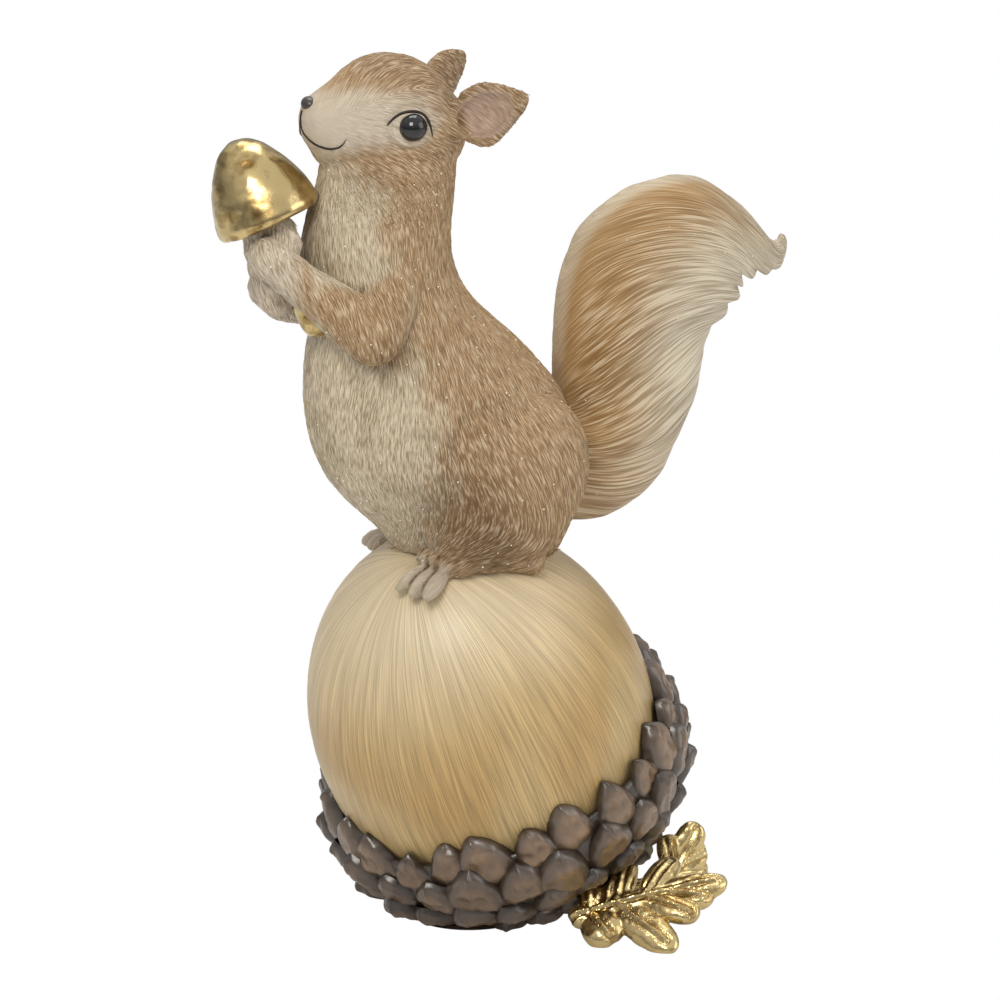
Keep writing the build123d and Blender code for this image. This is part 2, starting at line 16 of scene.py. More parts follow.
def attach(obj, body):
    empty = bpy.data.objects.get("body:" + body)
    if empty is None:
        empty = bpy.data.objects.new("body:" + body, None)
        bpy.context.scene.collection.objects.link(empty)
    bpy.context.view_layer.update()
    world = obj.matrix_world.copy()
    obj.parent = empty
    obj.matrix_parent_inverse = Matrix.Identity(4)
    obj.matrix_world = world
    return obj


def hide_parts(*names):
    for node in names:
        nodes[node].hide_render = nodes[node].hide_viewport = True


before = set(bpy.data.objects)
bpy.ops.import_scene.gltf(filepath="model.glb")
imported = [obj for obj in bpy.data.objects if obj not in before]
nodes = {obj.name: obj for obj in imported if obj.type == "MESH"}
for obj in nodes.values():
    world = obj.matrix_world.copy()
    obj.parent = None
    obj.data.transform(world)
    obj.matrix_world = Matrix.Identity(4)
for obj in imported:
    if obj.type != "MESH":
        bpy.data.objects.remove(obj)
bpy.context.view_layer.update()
MM = 0.001

# %% [markdown]
# ## Meshes from arrays
# A mesh is two tables: where the points are, and which points each face joins. Numpy fills such
# tables at once, so a sculpted surface can be written as a formula over all its points. Lengths
# are in millimetres here and become metres when the mesh is made.

# %% Mesh helpers
def mesh_object(name, points, faces):
    """An object at the origin from points in millimetres and a table of faces of equal size."""
    mesh = bpy.data.meshes.new(name)
    faces = np.asarray(faces, dtype=np.int32)
    count, corners = faces.shape
    mesh.vertices.add(len(points))
    mesh.vertices.foreach_set("co", np.asarray(points, dtype=np.float32).ravel() * MM)
    mesh.loops.add(count * corners)
    mesh.loops.foreach_set("vertex_index", faces.ravel())
    mesh.polygons.add(count)
    mesh.polygons.foreach_set("loop_start", np.arange(count, dtype=np.int32) * corners)
    mesh.update(calc_edges=True)
    mesh.validate()
    mesh.shade_smooth()
    made = bpy.data.objects.new(name, mesh)
    bpy.context.scene.collection.objects.link(made)
    return made


def grid_faces(rows, columns, wrap):
    """Four-cornered faces over a table of points; wrap joins the last column to the first."""
    across = columns if wrap else columns - 1
    row, column = np.meshgrid(np.arange(rows - 1), np.arange(across), indexing="ij")
    ahead = (column + 1) % columns
    corners = [row * columns + column, row * columns + ahead,
               (row + 1) * columns + ahead, (row + 1) * columns + column]
    return np.stack(corners, axis=-1).reshape(-1, 4)


def read(table, field, width, kind=np.float32):
    """One field of every item in a mesh's table, a row each."""
    values = np.empty(len(table) * width, dtype=kind)
    table.foreach_get(field, values)
    return values.reshape(-1, width)


def points_of(made):
    """Points of an object's mesh in millimetres."""
    return read(made.data.vertices, "co", 3).astype(float) / MM


def set_points(made, points):
    """Moves the points of a mesh to places in millimetres."""
    made.data.vertices.foreach_set("co", np.asarray(points, dtype=np.float32).ravel() * MM)
    made.data.update()


def normals_of(made):
    """The way out of the surface at each point."""
    return read(made.data.vertex_normals, "vector", 3).astype(float)


def triangles_of(made):
    """The faces of a mesh, cut into triangles."""
    made.data.calc_loop_triangles()
    return read(made.data.loop_triangles, "vertices", 3, np.int32)


def edges_of(made):
    """First and second point of every edge, and how many edges meet in each point."""
    ends = read(made.data.edges, "vertices", 2, np.int32)
    return *ends.T, np.bincount(ends.ravel(), minlength=len(made.data.vertices))


FIELDS = {"FLOAT": "value", "FLOAT_VECTOR": "vector", "FLOAT_COLOR": "color"}


def put_attribute(made, name, kind, values):
    """Writes one value a point to the mesh, for a material or a node group to read."""
    layer = made.data.attributes.new(name, kind, "POINT")
    layer.data.foreach_set(FIELDS[kind], np.asarray(values, dtype=np.float32).ravel())


def put_colour(made, name, rgb):
    """Writes one colour a point to the mesh."""
    put_attribute(made, name, "FLOAT_COLOR", np.c_[rgb, np.ones(len(rgb))])


def colours_of(made, name):
    """The colours that a mesh carries under a name."""
    return read(made.data.attributes[name].data, "color", 4)[:, :3]


def cad_points(node):
    """Points and triangles of a CAD node, in millimetres, in the shared frame."""
    made = nodes[node]
    place = np.array(made.matrix_world)
    points = points_of(made) @ place[:3, :3].T + place[:3, 3] / MM
    return points, triangles_of(made)


def gather(parts):
    """Joins several (points, triangles) pairs into one pair."""
    points, faces, start = [], [], 0
    for part_points, part_faces in parts:
        points.append(part_points)
        faces.append(part_faces + start)
        start += len(part_points)
    return np.concatenate(points), np.concatenate(faces)


def plain(made):
    """Turns an object with modifiers into a plain mesh object of the same name."""
    graph = bpy.context.evaluated_depsgraph_get()
    mesh = bpy.data.meshes.new_from_object(made.evaluated_get(graph), depsgraph=graph)
    old = made.data
    made.modifiers.clear()
    made.data = mesh
    bpy.data.meshes.remove(old)
    return made


def wrapped(name, parts, voxel):
    """One voxel skin round several closed forms."""
    made = mesh_object(name, *gather(parts))
    wrap = made.modifiers.new("wrap", "REMESH")
    wrap.mode = "VOXEL"
    wrap.voxel_size = voxel * MM
    return plain(made)


def drop(made):
    """Removes an object and its mesh."""
    mesh = made.data
    bpy.data.objects.remove(made)
    bpy.data.meshes.remove(mesh)


print("mesh helpers are ready")

# %% [markdown]
# ## Noise and smoothing
# Hair, wrinkles and brush marks all start from one noise: a random number on each corner of a
# lattice, blended in between. The numbers come from a fixed sum, so every run gives the same
# figurine. `combed` drags that noise along a direction, and the dragged noise looks like strands.

# %% Noise helpers
def lattice_value(corner, seed):
    """A fixed number from 0 to 1 for each corner of a lattice."""
    mixed = corner[:, 0] * 73856093 ^ corner[:, 1] * 19349663 ^ corner[:, 2] * 83492791 ^ seed * 2654435
    mixed = ((mixed ^ (mixed >> 13)) * 1274126177) & 0xFFFFFFFF
    return ((mixed ^ (mixed >> 16)) & 0xFFFF) / 65535


def noise(points, cell, seed):
    """Smooth noise from 0 to 1; cell is the size of its lattice."""
    scaled = points / cell
    low = np.floor(scaled).astype(np.int64)
    part = scaled - low
    part = part * part * (3 - 2 * part)
    total = np.zeros(len(points))
    for corner in np.ndindex(2, 2, 2):
        share = np.prod(np.where(np.array(corner), part, 1 - part), axis=1)
        total += share * lattice_value(low + np.array(corner), seed)
    return total


def noise_line(values, seed):
    """Smooth noise along one number."""
    return noise(np.c_[values, np.full(len(values), 0.5), np.full(len(values), 0.5)], 1.0, seed)


def combed(points, flow, cell, reach, seed):
    """Noise averaged along the flow, which leaves strands; 0 is a groove and 1 a ridge."""
    steps = np.linspace(-reach, reach, 11)
    total = sum(noise(points + flow * step, cell, seed) for step in steps) / len(steps)
    return np.clip(0.5 + (total - 0.5) / 0.3, 0, 1)


def relax(made, rounds, weight):
    """Moves each point towards the middle of its neighbours, by one share or a share for each."""
    first, second, degree = edges_of(made)
    points = points_of(made)
    count = len(points)
    for _ in range(rounds):
        middle = np.empty_like(points)
        for axis in range(3):
            middle[:, axis] = np.bincount(first, points[second, axis], count)
            middle[:, axis] += np.bincount(second, points[first, axis], count)
        points += np.reshape(weight, (-1, 1)) * (middle / degree[:, None] - points)
    set_points(made, points)


def ramp(value, low, high):
    """0 below low, 1 above high and smooth in between."""
    share = np.clip((value - low) / (high - low), 0, 1)
    return share * share * (3 - 2 * share)


def unit(ways):
    """Directions brought to length 1."""
    ways = np.asarray(ways, dtype=float)
    return ways / np.linalg.norm(ways, axis=-1, keepdims=True)


def mix(first, second, share):
    """A blend of two colours, point by point."""
    share = np.asarray(share)[:, None]
    return np.asarray(first) * (1 - share) + np.asarray(second) * share


def through(table, places):
    """A smooth curve through the rows of a table, at places counted in rows."""
    low = np.clip(np.floor(places).astype(int), 0, len(table) - 2)
    part = (places - low)[:, None]
    before, start = table[np.maximum(low - 1, 0)], table[low]
    end, after = table[low + 1], table[np.minimum(low + 2, len(table) - 1)]
    return 0.5 * (2 * start + (end - before) * part + (2 * before - 5 * start + 4 * end - after) * part ** 2
                  + (3 * start - before - 3 * end + after) * part ** 3)


print("noise at one place:", noise(np.full((1, 3), 0.3), 1.0, 5).round(3))

# %% [markdown]
# ## Colours and nodes
# A colour picked from a screen is stored for the eye, and a renderer counts light, so one function
# turns the first into the second. A material is a net of nodes, and one helper adds a node with its
# settings and inputs.

# %% Colours and nodes
def linear(code):
    """The light that an sRGB hex colour stands for."""
    parts = [int(code[place:place + 2], 16) / 255 for place in (1, 3, 5)]
    return np.array([part / 12.92 if part <= 0.04045 else ((part + 0.055) / 1.055) ** 2.4 for part in parts])


def plug(tree, made, inputs):
    """Gives a node its inputs: values, or sockets to link from. i0 and i1 count inputs by place."""
    for name, value in inputs.items():
        key = int(name[1:]) if name[0] == "i" and name[1:].isdigit() else name.replace("_", " ")
        if isinstance(value, bpy.types.NodeSocket):
            tree.links.new(value, made.inputs[key])
        else:
            made.inputs[key].default_value = value


def add(tree, kind, settings=None, **inputs):
    """Adds one node with its settings and inputs."""
    made = tree.nodes.new(kind)
    for name, value in (settings or {}).items():
        setattr(made, name, value)
    plug(tree, made, inputs)
    return made


def carried(tree, name, kind):
    """What the mesh carries under a name, as Color, Vector or Fac."""
    return add(tree, "ShaderNodeAttribute", {"attribute_name": name}).outputs[kind]


def maths(tree, operation, first, second):
    """One sum with two numbers."""
    return add(tree, "ShaderNodeMath", {"operation": operation}, i0=first, i1=second).outputs[0]


def vectors(tree, operation, first, second):
    """One sum with vectors; SCALE takes a number second."""
    inputs = {"i0": first, "Scale" if operation == "SCALE" else "i1": second}
    return add(tree, "ShaderNodeVectorMath", {"operation": operation}, **inputs).outputs["Vector"]


def spanned(tree, value, low, high, start, end):
    """A value carried from one span to another and held at its ends."""
    return add(tree, "ShaderNodeMapRange", Value=value, From_Min=low, From_Max=high, To_Min=start,
               To_Max=end).outputs["Result"]


def object_noise(tree, cell, detail=3.0):
    """Noise over the object itself; cell is in millimetres."""
    where = add(tree, "ShaderNodeTexCoord").outputs["Object"]
    return add(tree, "ShaderNodeTexNoise", Vector=where, Scale=1 / (cell * MM), Detail=detail).outputs["Fac"]


def dragged_noise(tree, lengths, sizes, share, **look):
    """Two layers of noise stretched over lengths that the mesh carries; sizes are in millimetres."""
    layers = []
    for size in sizes:
        where = vectors(tree, "MULTIPLY", lengths, [1 / part for part in size])
        layers.append(add(tree, "ShaderNodeTexNoise", Vector=where, Scale=1.0, **look).outputs["Fac"])
    return add(tree, "ShaderNodeMix", Factor=share, A=layers[0], B=layers[1]).outputs["Result"]


print("light of middle grey:", linear("#808080").round(3))

# %% [markdown]
# ## Finishes
# Paint on resin is a Principled shader with some sheen in its roughness. Where a piece carries a
# painted colour for every point, the shader reads that. Fur keeps dark paint in its grooves, the nut
# shows brush streaks under lacquer, and metal leaf turns brown in its hollows.

# %% Finishes
def new_material(name):
    """A material, its net of nodes and its Principled shader."""
    made = bpy.data.materials.new(name)
    made.use_nodes = True
    return made, made.node_tree, made.node_tree.nodes["Principled BSDF"]


def painted(name, attribute, roughness, specular=0.35):
    """Brushed acrylic over resin: the colour of each point, mottled a little."""
    made, tree, shader = new_material(name)
    mottle = spanned(tree, object_noise(tree, 2.2), 0.3, 0.7, 0.88, 1.12)
    colour = vectors(tree, "SCALE", carried(tree, attribute, "Color"), mottle)
    plug(tree, shader, {"Base Color": colour, "Roughness": roughness, "Specular IOR Level": specular})
    return made


def flat_paint(name, code, roughness, specular=0.5, coat=0.0):
    """One even coat of paint, with varnish over it where coat is above 0."""
    made, tree, shader = new_material(name)
    plug(tree, shader, {"Base Color": (*linear(code), 1), "Roughness": roughness,
                        "Specular IOR Level": specular, "Coat Weight": coat, "Coat Roughness": 0.08})
    return made


def gilding(name, bright, rubbed):
    """Metal leaf over size: bright gold, brown in grooves and rubbed places, with fine creases.

    The point attribute patina says where a piece has kept brown glaze in its hollows.
    """
    made, tree, shader = new_material(name)
    patch, creases = object_noise(tree, 5.0, 5.0), object_noise(tree, 1.1, 6.0)
    dirt = spanned(tree, maths(tree, "ADD", patch, carried(tree, "patina", "Fac")), 0.52, 0.8, 0.0, 1.0)
    colour = add(tree, "ShaderNodeMix", {"data_type": "RGBA"}, Factor=dirt, A=(*linear(bright), 1),
                 B=(*linear(rubbed), 1))
    creased = add(tree, "ShaderNodeBump", Strength=0.14, Distance=0.3 * MM, Height=creases)
    plug(tree, shader, {"Base Color": colour.outputs["Result"], "Normal": creased.outputs["Normal"],
                        "Roughness": spanned(tree, patch, 0.4, 0.7, 0.16, 0.32), "Metallic": 1.0})
    return made


def combed_paint(name, fine, long, deep, roughness, wear="#e8dac0"):
    """Thin paint over carved hair: dark in the grooves, rubbed pale on the ridges.

    The point attribute comb holds two lengths, across the hair and along it, so noise stretched
    over them runs with the hair wherever it turns.
    """
    made, tree, shader = new_material(name)
    paint, soft = carried(tree, "paint", "Color"), carried(tree, "hair", "Fac")
    ridge = dragged_noise(tree, carried(tree, "comb", "Vector"),
                          ((fine, long, 1.0), (2.6 * fine, 1.9 * long, 1.0)), 0.2, Detail=1.5, Roughness=0.6)
    wash = maths(tree, "MULTIPLY", spanned(tree, ridge, 0.4, 0.54, deep, 0.0), soft)
    browned = vectors(tree, "ADD", vectors(tree, "SCALE", (-0.86, -1.0, -1.18), wash), (1.0, 1.0, 1.0))
    washed = vectors(tree, "MULTIPLY", paint, browned)
    rub = maths(tree, "MULTIPLY", spanned(tree, ridge, 0.5, 0.62, 0.0, 0.46), soft)
    colour = add(tree, "ShaderNodeMix", {"data_type": "RGBA"}, Factor=rub, A=washed, B=(*linear(wear), 1))
    carve = add(tree, "ShaderNodeBump", Strength=0.8, Distance=0.4 * MM, Height=ridge)
    plug(tree, shader, {"Base Color": colour.outputs["Result"], "Normal": carve.outputs["Normal"],
                        "Roughness": roughness, "Specular IOR Level": 0.3})
    return made


def streaked_lacquer(name):
    """Satin lacquer over brush streaks that run from the nut's tip to its cup."""
    made, tree, shader = new_material(name)
    streak = dragged_noise(tree, carried(tree, "wheel", "Vector"), ((0.24, 0.24, 14.0), (0.9, 0.9, 24.0)),
                           0.25, Detail=2.0)
    level = spanned(tree, streak, 0.35, 0.65, 0.66, 1.27)
    colour = vectors(tree, "SCALE", carried(tree, "paint", "Color"), level)
    carve = add(tree, "ShaderNodeBump", Strength=0.25, Distance=0.15 * MM, Height=streak)
    plug(tree, shader, {"Base Color": colour, "Normal": carve.outputs["Normal"], "Roughness": 0.36})
    return made


FUR = combed_paint("brushed acrylic on fur", 0.26, 3.4, 0.5, 0.6)
PLUME = combed_paint("brushed acrylic on tail", 0.3, 14.0, 0.42, 0.55)
STROKE = painted("dry brushed hair tips", "paint", 0.6)
NUT = streaked_lacquer("satin lacquer on nut")
SCALES = painted("washed acrylic on scales", "paint", 0.3, 0.9)
GOLD = gilding("gold leaf with brown patina", "#d2bb86", "#7f6233")
EYE = flat_paint("gloss black eye enamel", "#101215", 0.06, 0.5, 0.4)
NOSE = flat_paint("satin grey nose enamel", "#3b3531", 0.35, 0.5, 0.2)
LINE = flat_paint("black brush line", "#2a211b", 0.5, 0.3)
FELT = flat_paint("brown felt", "#4d4034", 0.95, 0.1)
SPECK = flat_paint("pale glitter", "#fff6e2", 0.2, 0.8)
print(len(bpy.data.materials), "materials")

# %% [markdown]
# ## How the hair lies
# A sculptor combs the clay in one direction at a time, and the strokes turn smoothly from cheek to
# neck to back. A few listed guides say which way the hair lies; every point between them takes
# a blend of the nearest ones, laid flat on the surface. The far side mirrors the near side.

# %% Hair guides
MIDDLE_Y = -0.565
GUIDES = [
    # place, way the hair lies
    ((-38.6, -4.2, 218.1), (0.85, -0.15, 0.45)),
    ((-20.6, -6.1, 224.7), (1.0, -0.1, 0.0)),
    ((-29.0, -10.0, 219.5), (0.95, -0.1, 0.25)),
    ((-22.0, -13.5, 216.5), (1.0, 0.0, 0.0)),
    ((-13.0, -11.0, 219.0), (0.9, 0.0, -0.35)),
    ((-6.0, -6.0, 218.0), (0.6, 0.0, -0.8)),
    ((-31.3, -13.4, 209.9), (0.9, -0.3, -0.2)),
    ((-22.0, -17.5, 203.0), (0.9, -0.05, -0.4)),
    ((-13.0, -16.0, 209.0), (0.9, 0.1, -0.4)),
    ((-36.0, -8.3, 200.0), (0.55, -0.3, -0.75)),
    ((-39.1, -5.7, 193.1), (0.1, -0.1, -1.0)),
    ((-19.0, -16.3, 191.4), (0.2, -0.05, -1.0)),
    ((-6.0, -4.0, 190.0), (0.25, 0.0, -1.0)),
    ((-37.6, -12.5, 179.2), (-0.1, 0.0, -1.0)),
    ((-46.0, -3.0, 176.0), (0.0, 0.0, -1.0)),
    ((-14.0, -17.0, 172.0), (0.35, 0.0, -0.95)),
    ((0.0, -6.0, 168.0), (0.4, 0.0, -0.9)),
    ((6.8, -18.4, 145.5), (0.5, 0.0, -0.85)),
    ((18.0, -6.0, 150.0), (0.5, 0.0, -0.85)),
    ((-27.0, -21.0, 168.0), (-0.25, -0.3, -0.9)),
    ((-34.4, -27.9, 158.2), (0.4, -0.2, -0.85)),
    ((-44.8, -21.3, 166.5), (0.7, -0.4, -0.6)),
    ((-53.3, -15.3, 174.8), (0.7, -0.4, -0.6)),
    ((-38.6, -11.6, 135.0), (-0.3, -0.1, -0.95)),
    ((-43.0, -3.0, 150.0), (-0.1, 0.0, -1.0)),
    ((-27.3, -24.4, 134.6), (-0.12, -0.1, -1.0)),
    ((-26.8, -15.8, 111.7), (0.4, 0.0, -0.9)),
    ((-36.0, -3.0, 116.0), (0.2, 0.0, -1.0)),
    ((0.0, -30.0, 128.4), (0.35, 0.0, -0.95)),
    ((-13.8, -27.6, 110.9), (0.25, 0.0, -0.95)),
    ((10.0, -28.0, 138.0), (0.6, 0.0, -0.8)),
    ((14.4, -28.0, 116.0), (0.3, 0.2, -0.95)),
    ((-7.0, -27.2, 99.8), (-0.9, 0.0, -0.3)),
    ((-21.9, -18.5, 93.3), (-0.9, 0.0, -0.4)),
]
GUIDE_REACH = 9.0
MIRROR = np.array([1.0, -1.0, 1.0])
MIRROR_SHIFT = np.array([0.0, 2 * MIDDLE_Y, 0.0])
GUIDE_PLACES = np.array([place for place, _ in GUIDES])
GUIDE_PLACES = np.concatenate([GUIDE_PLACES, GUIDE_PLACES * MIRROR + MIRROR_SHIFT])
GUIDE_WAYS = np.array([way for _, way in GUIDES])
GUIDE_WAYS = np.concatenate([GUIDE_WAYS, GUIDE_WAYS * MIRROR])


def hair_flow(points, normals):
    """Unit direction of the hair at each point, flat on the surface."""
    away = ((points[:, None, :] - GUIDE_PLACES[None]) ** 2).sum(axis=2)
    weight = np.exp(-(away - away.min(axis=1, keepdims=True)) / (2 * GUIDE_REACH ** 2))
    flow = weight @ GUIDE_WAYS
    flow -= normals * (flow * normals).sum(axis=1, keepdims=True)
    return flow / np.maximum(np.linalg.norm(flow, axis=1, keepdims=True), 1e-6)


print(len(GUIDES), "guides on each side")

# %% [markdown]
# ## Lengths over the hair
# To draw single hairs, a shader has to know how far each point lies across the hair and along it.
# Each edge of the mesh says how much both lengths should change over it. No numbers fit all edges
# where the hair turns, so the best fit is found by conjugate gradients, a small step each round.
# Small steps are slow to carry a change across the whole body, so between them whole patches of the
# skin are moved as one.

# %% Lengths over the hair
SIDEWAYS = np.array([0.93, -0.34, 0.12])
PATCH_SIZE = 5.0


def hair_lengths(made, flow, normals, cycles=3, rounds=110):
    """Two lengths for every point, across the hair and along it.

    The length across always grows to one side, or it would run round a limb for ever.
    """
    first, second, degree = edges_of(made)
    points = points_of(made)
    count = len(points)
    across = np.cross(normals, flow)
    across *= np.sign(across @ SIDEWAYS + 1e-9)[:, None]
    step = points[second] - points[first]
    patch_key = np.c_[np.floor(points / PATCH_SIZE), normals > 0].astype(np.int64)
    patch = np.unique(patch_key, axis=0, return_inverse=True)[1].ravel()
    patches = patch.max() + 1
    links = np.zeros((patches, patches))
    np.add.at(links, (patch[first], patch[second]), 1.0)
    links += links.T
    np.fill_diagonal(links, 0.0)
    coarse = np.diag(links.sum(axis=1) + 1e-3) - links

    def spread_of(values):
        near = np.bincount(first, values[second], count) + np.bincount(second, values[first], count)
        return degree * values - near

    lengths = []
    for way, found in ((across, 1.2 * points @ SIDEWAYS), (flow, -points[:, 2])):
        change = (step * (way[first] + way[second])).sum(axis=1) / 2
        wanted = np.bincount(second, change, count) - np.bincount(first, change, count)
        for _ in range(cycles):
            missing = np.bincount(patch, wanted - spread_of(found), patches)
            found = found + 1.6 * np.linalg.solve(coarse, missing)[patch]
            left = wanted - spread_of(found)
            search, size = left.copy(), left @ left
            for _ in range(rounds):
                spread = spread_of(search)
                share = size / (search @ spread)
                found += share * search
                left -= share * spread
                size, before = left @ left, size
                search = left + search * size / before
        lengths.append(found)
    return np.stack(lengths, axis=1)


print("patches of", PATCH_SIZE, "mm")

# %% [markdown]
# ## Paws round the stem
# The paws close round the mushroom's stem like mittens. Each is a short chain of balls beside the
# stem, given by height on the stem, distance to the right and distance to the front. They are joined
# with the arms when the whole animal is remeshed, so they melt together as pressed clay would.

# %% Paws round the stem
STEM_FOOT = np.array([-41.47, -7.07, 155.97])
STEM_AXIS = unit((-0.34, 0.27, 0.90))
VIEW_RIGHT = np.array([0.940, -0.342, 0.0])
VIEW_UP = np.array([0.089, 0.243, 0.966])
VIEW_BACK = np.array([-0.330, -0.908, 0.259])
MITTENS = [
    # height on the stem, to the right, to the front, radius
    (28.0, -5.4, -1.0, 3.5), (23.5, -6.0, -1.0, 4.2), (18.5, -6.6, -1.5, 4.7), (14.0, -7.3, -2.0, 4.8),
    (10.0, -7.3, -2.5, 4.4), (28.5, 0.8, 4.4, 3.8), (25.0, 0.8, 5.4, 4.6), (29.0, 2.7, 1.6, 3.0),
    (29.0, -2.2, 2.6, 3.6), (25.0, -2.6, 3.4, 3.6),
]


def ball(centre, radius, rings=8):
    """Points and triangles of a small ball."""
    turn, lift = np.meshgrid(np.linspace(0, 2 * np.pi, 2 * rings, endpoint=False),
                             np.linspace(0.001, np.pi - 0.001, rings), indexing="xy")
    points = np.stack([np.sin(lift) * np.cos(turn), np.sin(lift) * np.sin(turn), np.cos(lift)], axis=-1)
    faces = grid_faces(rings, 2 * rings, True)[:, ::-1]
    faces = np.concatenate([faces[:, [0, 1, 2]], faces[:, [0, 2, 3]]])
    return points.reshape(-1, 3) * radius + np.array(centre), faces


paws = [ball(STEM_FOOT + STEM_AXIS * height + VIEW_RIGHT * right + VIEW_BACK * front, radius)
        for height, right, front, radius in MITTENS]
print(len(paws), "balls in the paws")

# %% [markdown]
# ## Places on the animal
# A few measured points and lines say where the eye, mouth, ear, haunch and toes are. The sculpting
# and the painting below are distances from them. The animal is symmetric, so a point on the far
# side is folded onto the near side first.

# %% Places on the animal
NECK_Z = 190.0
EYE_MIDDLE = np.mean(cad_points("left_eye")[0], axis=0)
EYE_LOOK, EYE_RADIUS = EYE_MIDDLE + np.array([0.5, -0.5, 0.3]), 3.65
MOUTH = np.array([(-43.6, -0.9, 212.3), (-44.2, -0.8, 209.8), (-43.8, -1.6, 207.4), (-42.6, -4.2, 205.2),
                  (-40.6, -6.4, 204.2), (-38.6, -8.1, 204.2), (-37.0, -9.5, 205.2), (-36.2, -10.4, 206.8)])
EAR_MIDDLE = np.array([-0.58, -18.565, 212.57])
EAR_WAY = unit((0.76, -0.51, 0.41))
EAR_FACE = np.array([-0.603, -0.786, 0.136])
EAR_ACROSS = np.cross(EAR_FACE, EAR_WAY)
EAR_LENGTH, EAR_WIDTH = 10.7, 8.0
HAUNCH = np.array([(-18.5, -25.0, 105.0), (-18.0, -28.0, 114.0), (-17.0, -29.0, 122.0),
                   (-14.9, -29.0, 132.0), (-9.3, -28.5, 138.7), (-1.8, -28.0, 139.5)])
HAUNCH_SHADE = (-12.0, -29.0, 111.0)
TOE_ROOT, TOE_TURN = np.array([-13.0, -20.6, 95.5]), math.radians(26)
TOE_SHIFT = np.array([-2.4, 3.6, 1.0])
TOE_GROWTH, TOE_SPACING, TOE_FAN = 0.08, 2.97, math.radians(11)


def near_side(points):
    """The points with the far side folded over onto the near side."""
    folded = points.copy()
    folded[:, 1] = MIDDLE_Y - np.abs(points[:, 1] - MIDDLE_Y)
    return folded


def folded_normals(points, normals):
    """Normals with the far side folded onto the near side."""
    folded = normals.copy()
    folded[:, 1] = np.where(points[:, 1] > MIDDLE_Y, -normals[:, 1], normals[:, 1])
    return folded


def from_line(points, line):
    """Distance from each point to a chain of straight pieces."""
    best = np.full(len(points), 1e9)
    for start, end in zip(line, line[1:]):
        way = end - start
        share = np.clip((points - start) @ way / (way @ way), 0, 1)
        best = np.minimum(best, np.linalg.norm(points - start - share[:, None] * way, axis=1))
    return best


def near_line(points, line, width):
    """1 on a line, falling softly to nothing over a width."""
    return np.exp(-(from_line(points, line) / width) ** 2)


def bump(points, centre, radius):
    """1 at a centre, falling softly to nothing over a radius."""
    return np.exp(-((points - np.array(centre)) ** 2).sum(axis=1) / radius ** 2)


def ear_places(points):
    """Places along and across the nearest ear, in shares of its size, and the distance off it."""
    near = near_side(points) - EAR_MIDDLE
    return near @ EAR_WAY / EAR_LENGTH, near @ EAR_ACROSS / EAR_WIDTH, np.abs(near @ EAR_FACE)


def ear_shares(points, normals):
    """1 in the hollow of an ear, and 1 anywhere on an ear."""
    along, across, off = ear_places(points)
    on_ear = ramp(along, -0.75, -0.55) * (off < 6)
    hollow = on_ear * ramp(1 - (along + 0.1) ** 2 / 0.6 - across ** 2 / 0.62, -0.05, 0.35)
    return hollow * ramp(folded_normals(points, normals) @ EAR_FACE, 0.1, 0.5), on_ear


def toe_gaps(points):
    """1 in the three gaps between the toes of the near foot."""
    away = points[:, :2] - (TOE_ROOT + TOE_SHIFT)[:2]
    ahead = -away @ (math.cos(TOE_TURN), math.sin(TOE_TURN))
    side = away @ (-math.sin(TOE_TURN), math.cos(TOE_TURN))
    gaps = sum(np.exp(-((side - TOE_SPACING * gap - ahead * math.tan(TOE_FAN * gap)) / 0.5) ** 2)
               for gap in (-1, 0, 1))
    return gaps * ramp(ahead, -2, 1) * ramp(-points[:, 2], -101, -99)


print("near eye at", EYE_MIDDLE.round(1), "mm")

# %% [markdown]
# ## The squirrel's skin
# Body, head, ears, arms and feet come from the CAD as separate solids. A voxel remesh wraps them
# all in one skin, as a mould does, and a few rounds of smoothing take the hard seams away. The near
# foot's toes are turned outward first. The same skin is made twice: coarse for the coat and finer
# for the face.

# %% One skin over the CAD solids
SOLIDS = ["squirrel_body", "squirrel_head", "left_ear", "right_ear", "left_arm", "right_arm",
          "left_foot", "right_foot", "left_eye", "right_eye"]
COARSE, FINE = 0.6, 0.42


def turned_toes(points):
    """The near foot's points with the toes grown a little, turned outward and moved up the nut."""
    share = ramp(-points[:, 0], 10, 15)
    away = (points - TOE_ROOT) * (1 + TOE_GROWTH * share[:, None])
    cosine, sine = np.cos(TOE_TURN * share), np.sin(TOE_TURN * share)
    away[:, :2] = np.c_[cosine * away[:, 0] - sine * away[:, 1], sine * away[:, 0] + cosine * away[:, 1]]
    return TOE_ROOT + away + share[:, None] * TOE_SHIFT


def trimmed_ears(points):
    """Ears drawn to a point: the edges move in towards the tip, the lower one more."""
    along, across, off = ear_places(points)
    on_ear = ramp(along, -0.75, -0.4) * (off < 7)
    lower, upper = 0.26 * ramp(along, -0.4, 0.6), 0.08 * ramp(along, 0.2, 0.8)
    shift = -on_ear * across * np.where(across < 0, lower, upper)
    far = np.where(points[:, 1:2] > MIDDLE_Y, MIRROR, 1.0)
    return points + (EAR_WIDTH * shift)[:, None] * EAR_ACROSS * far


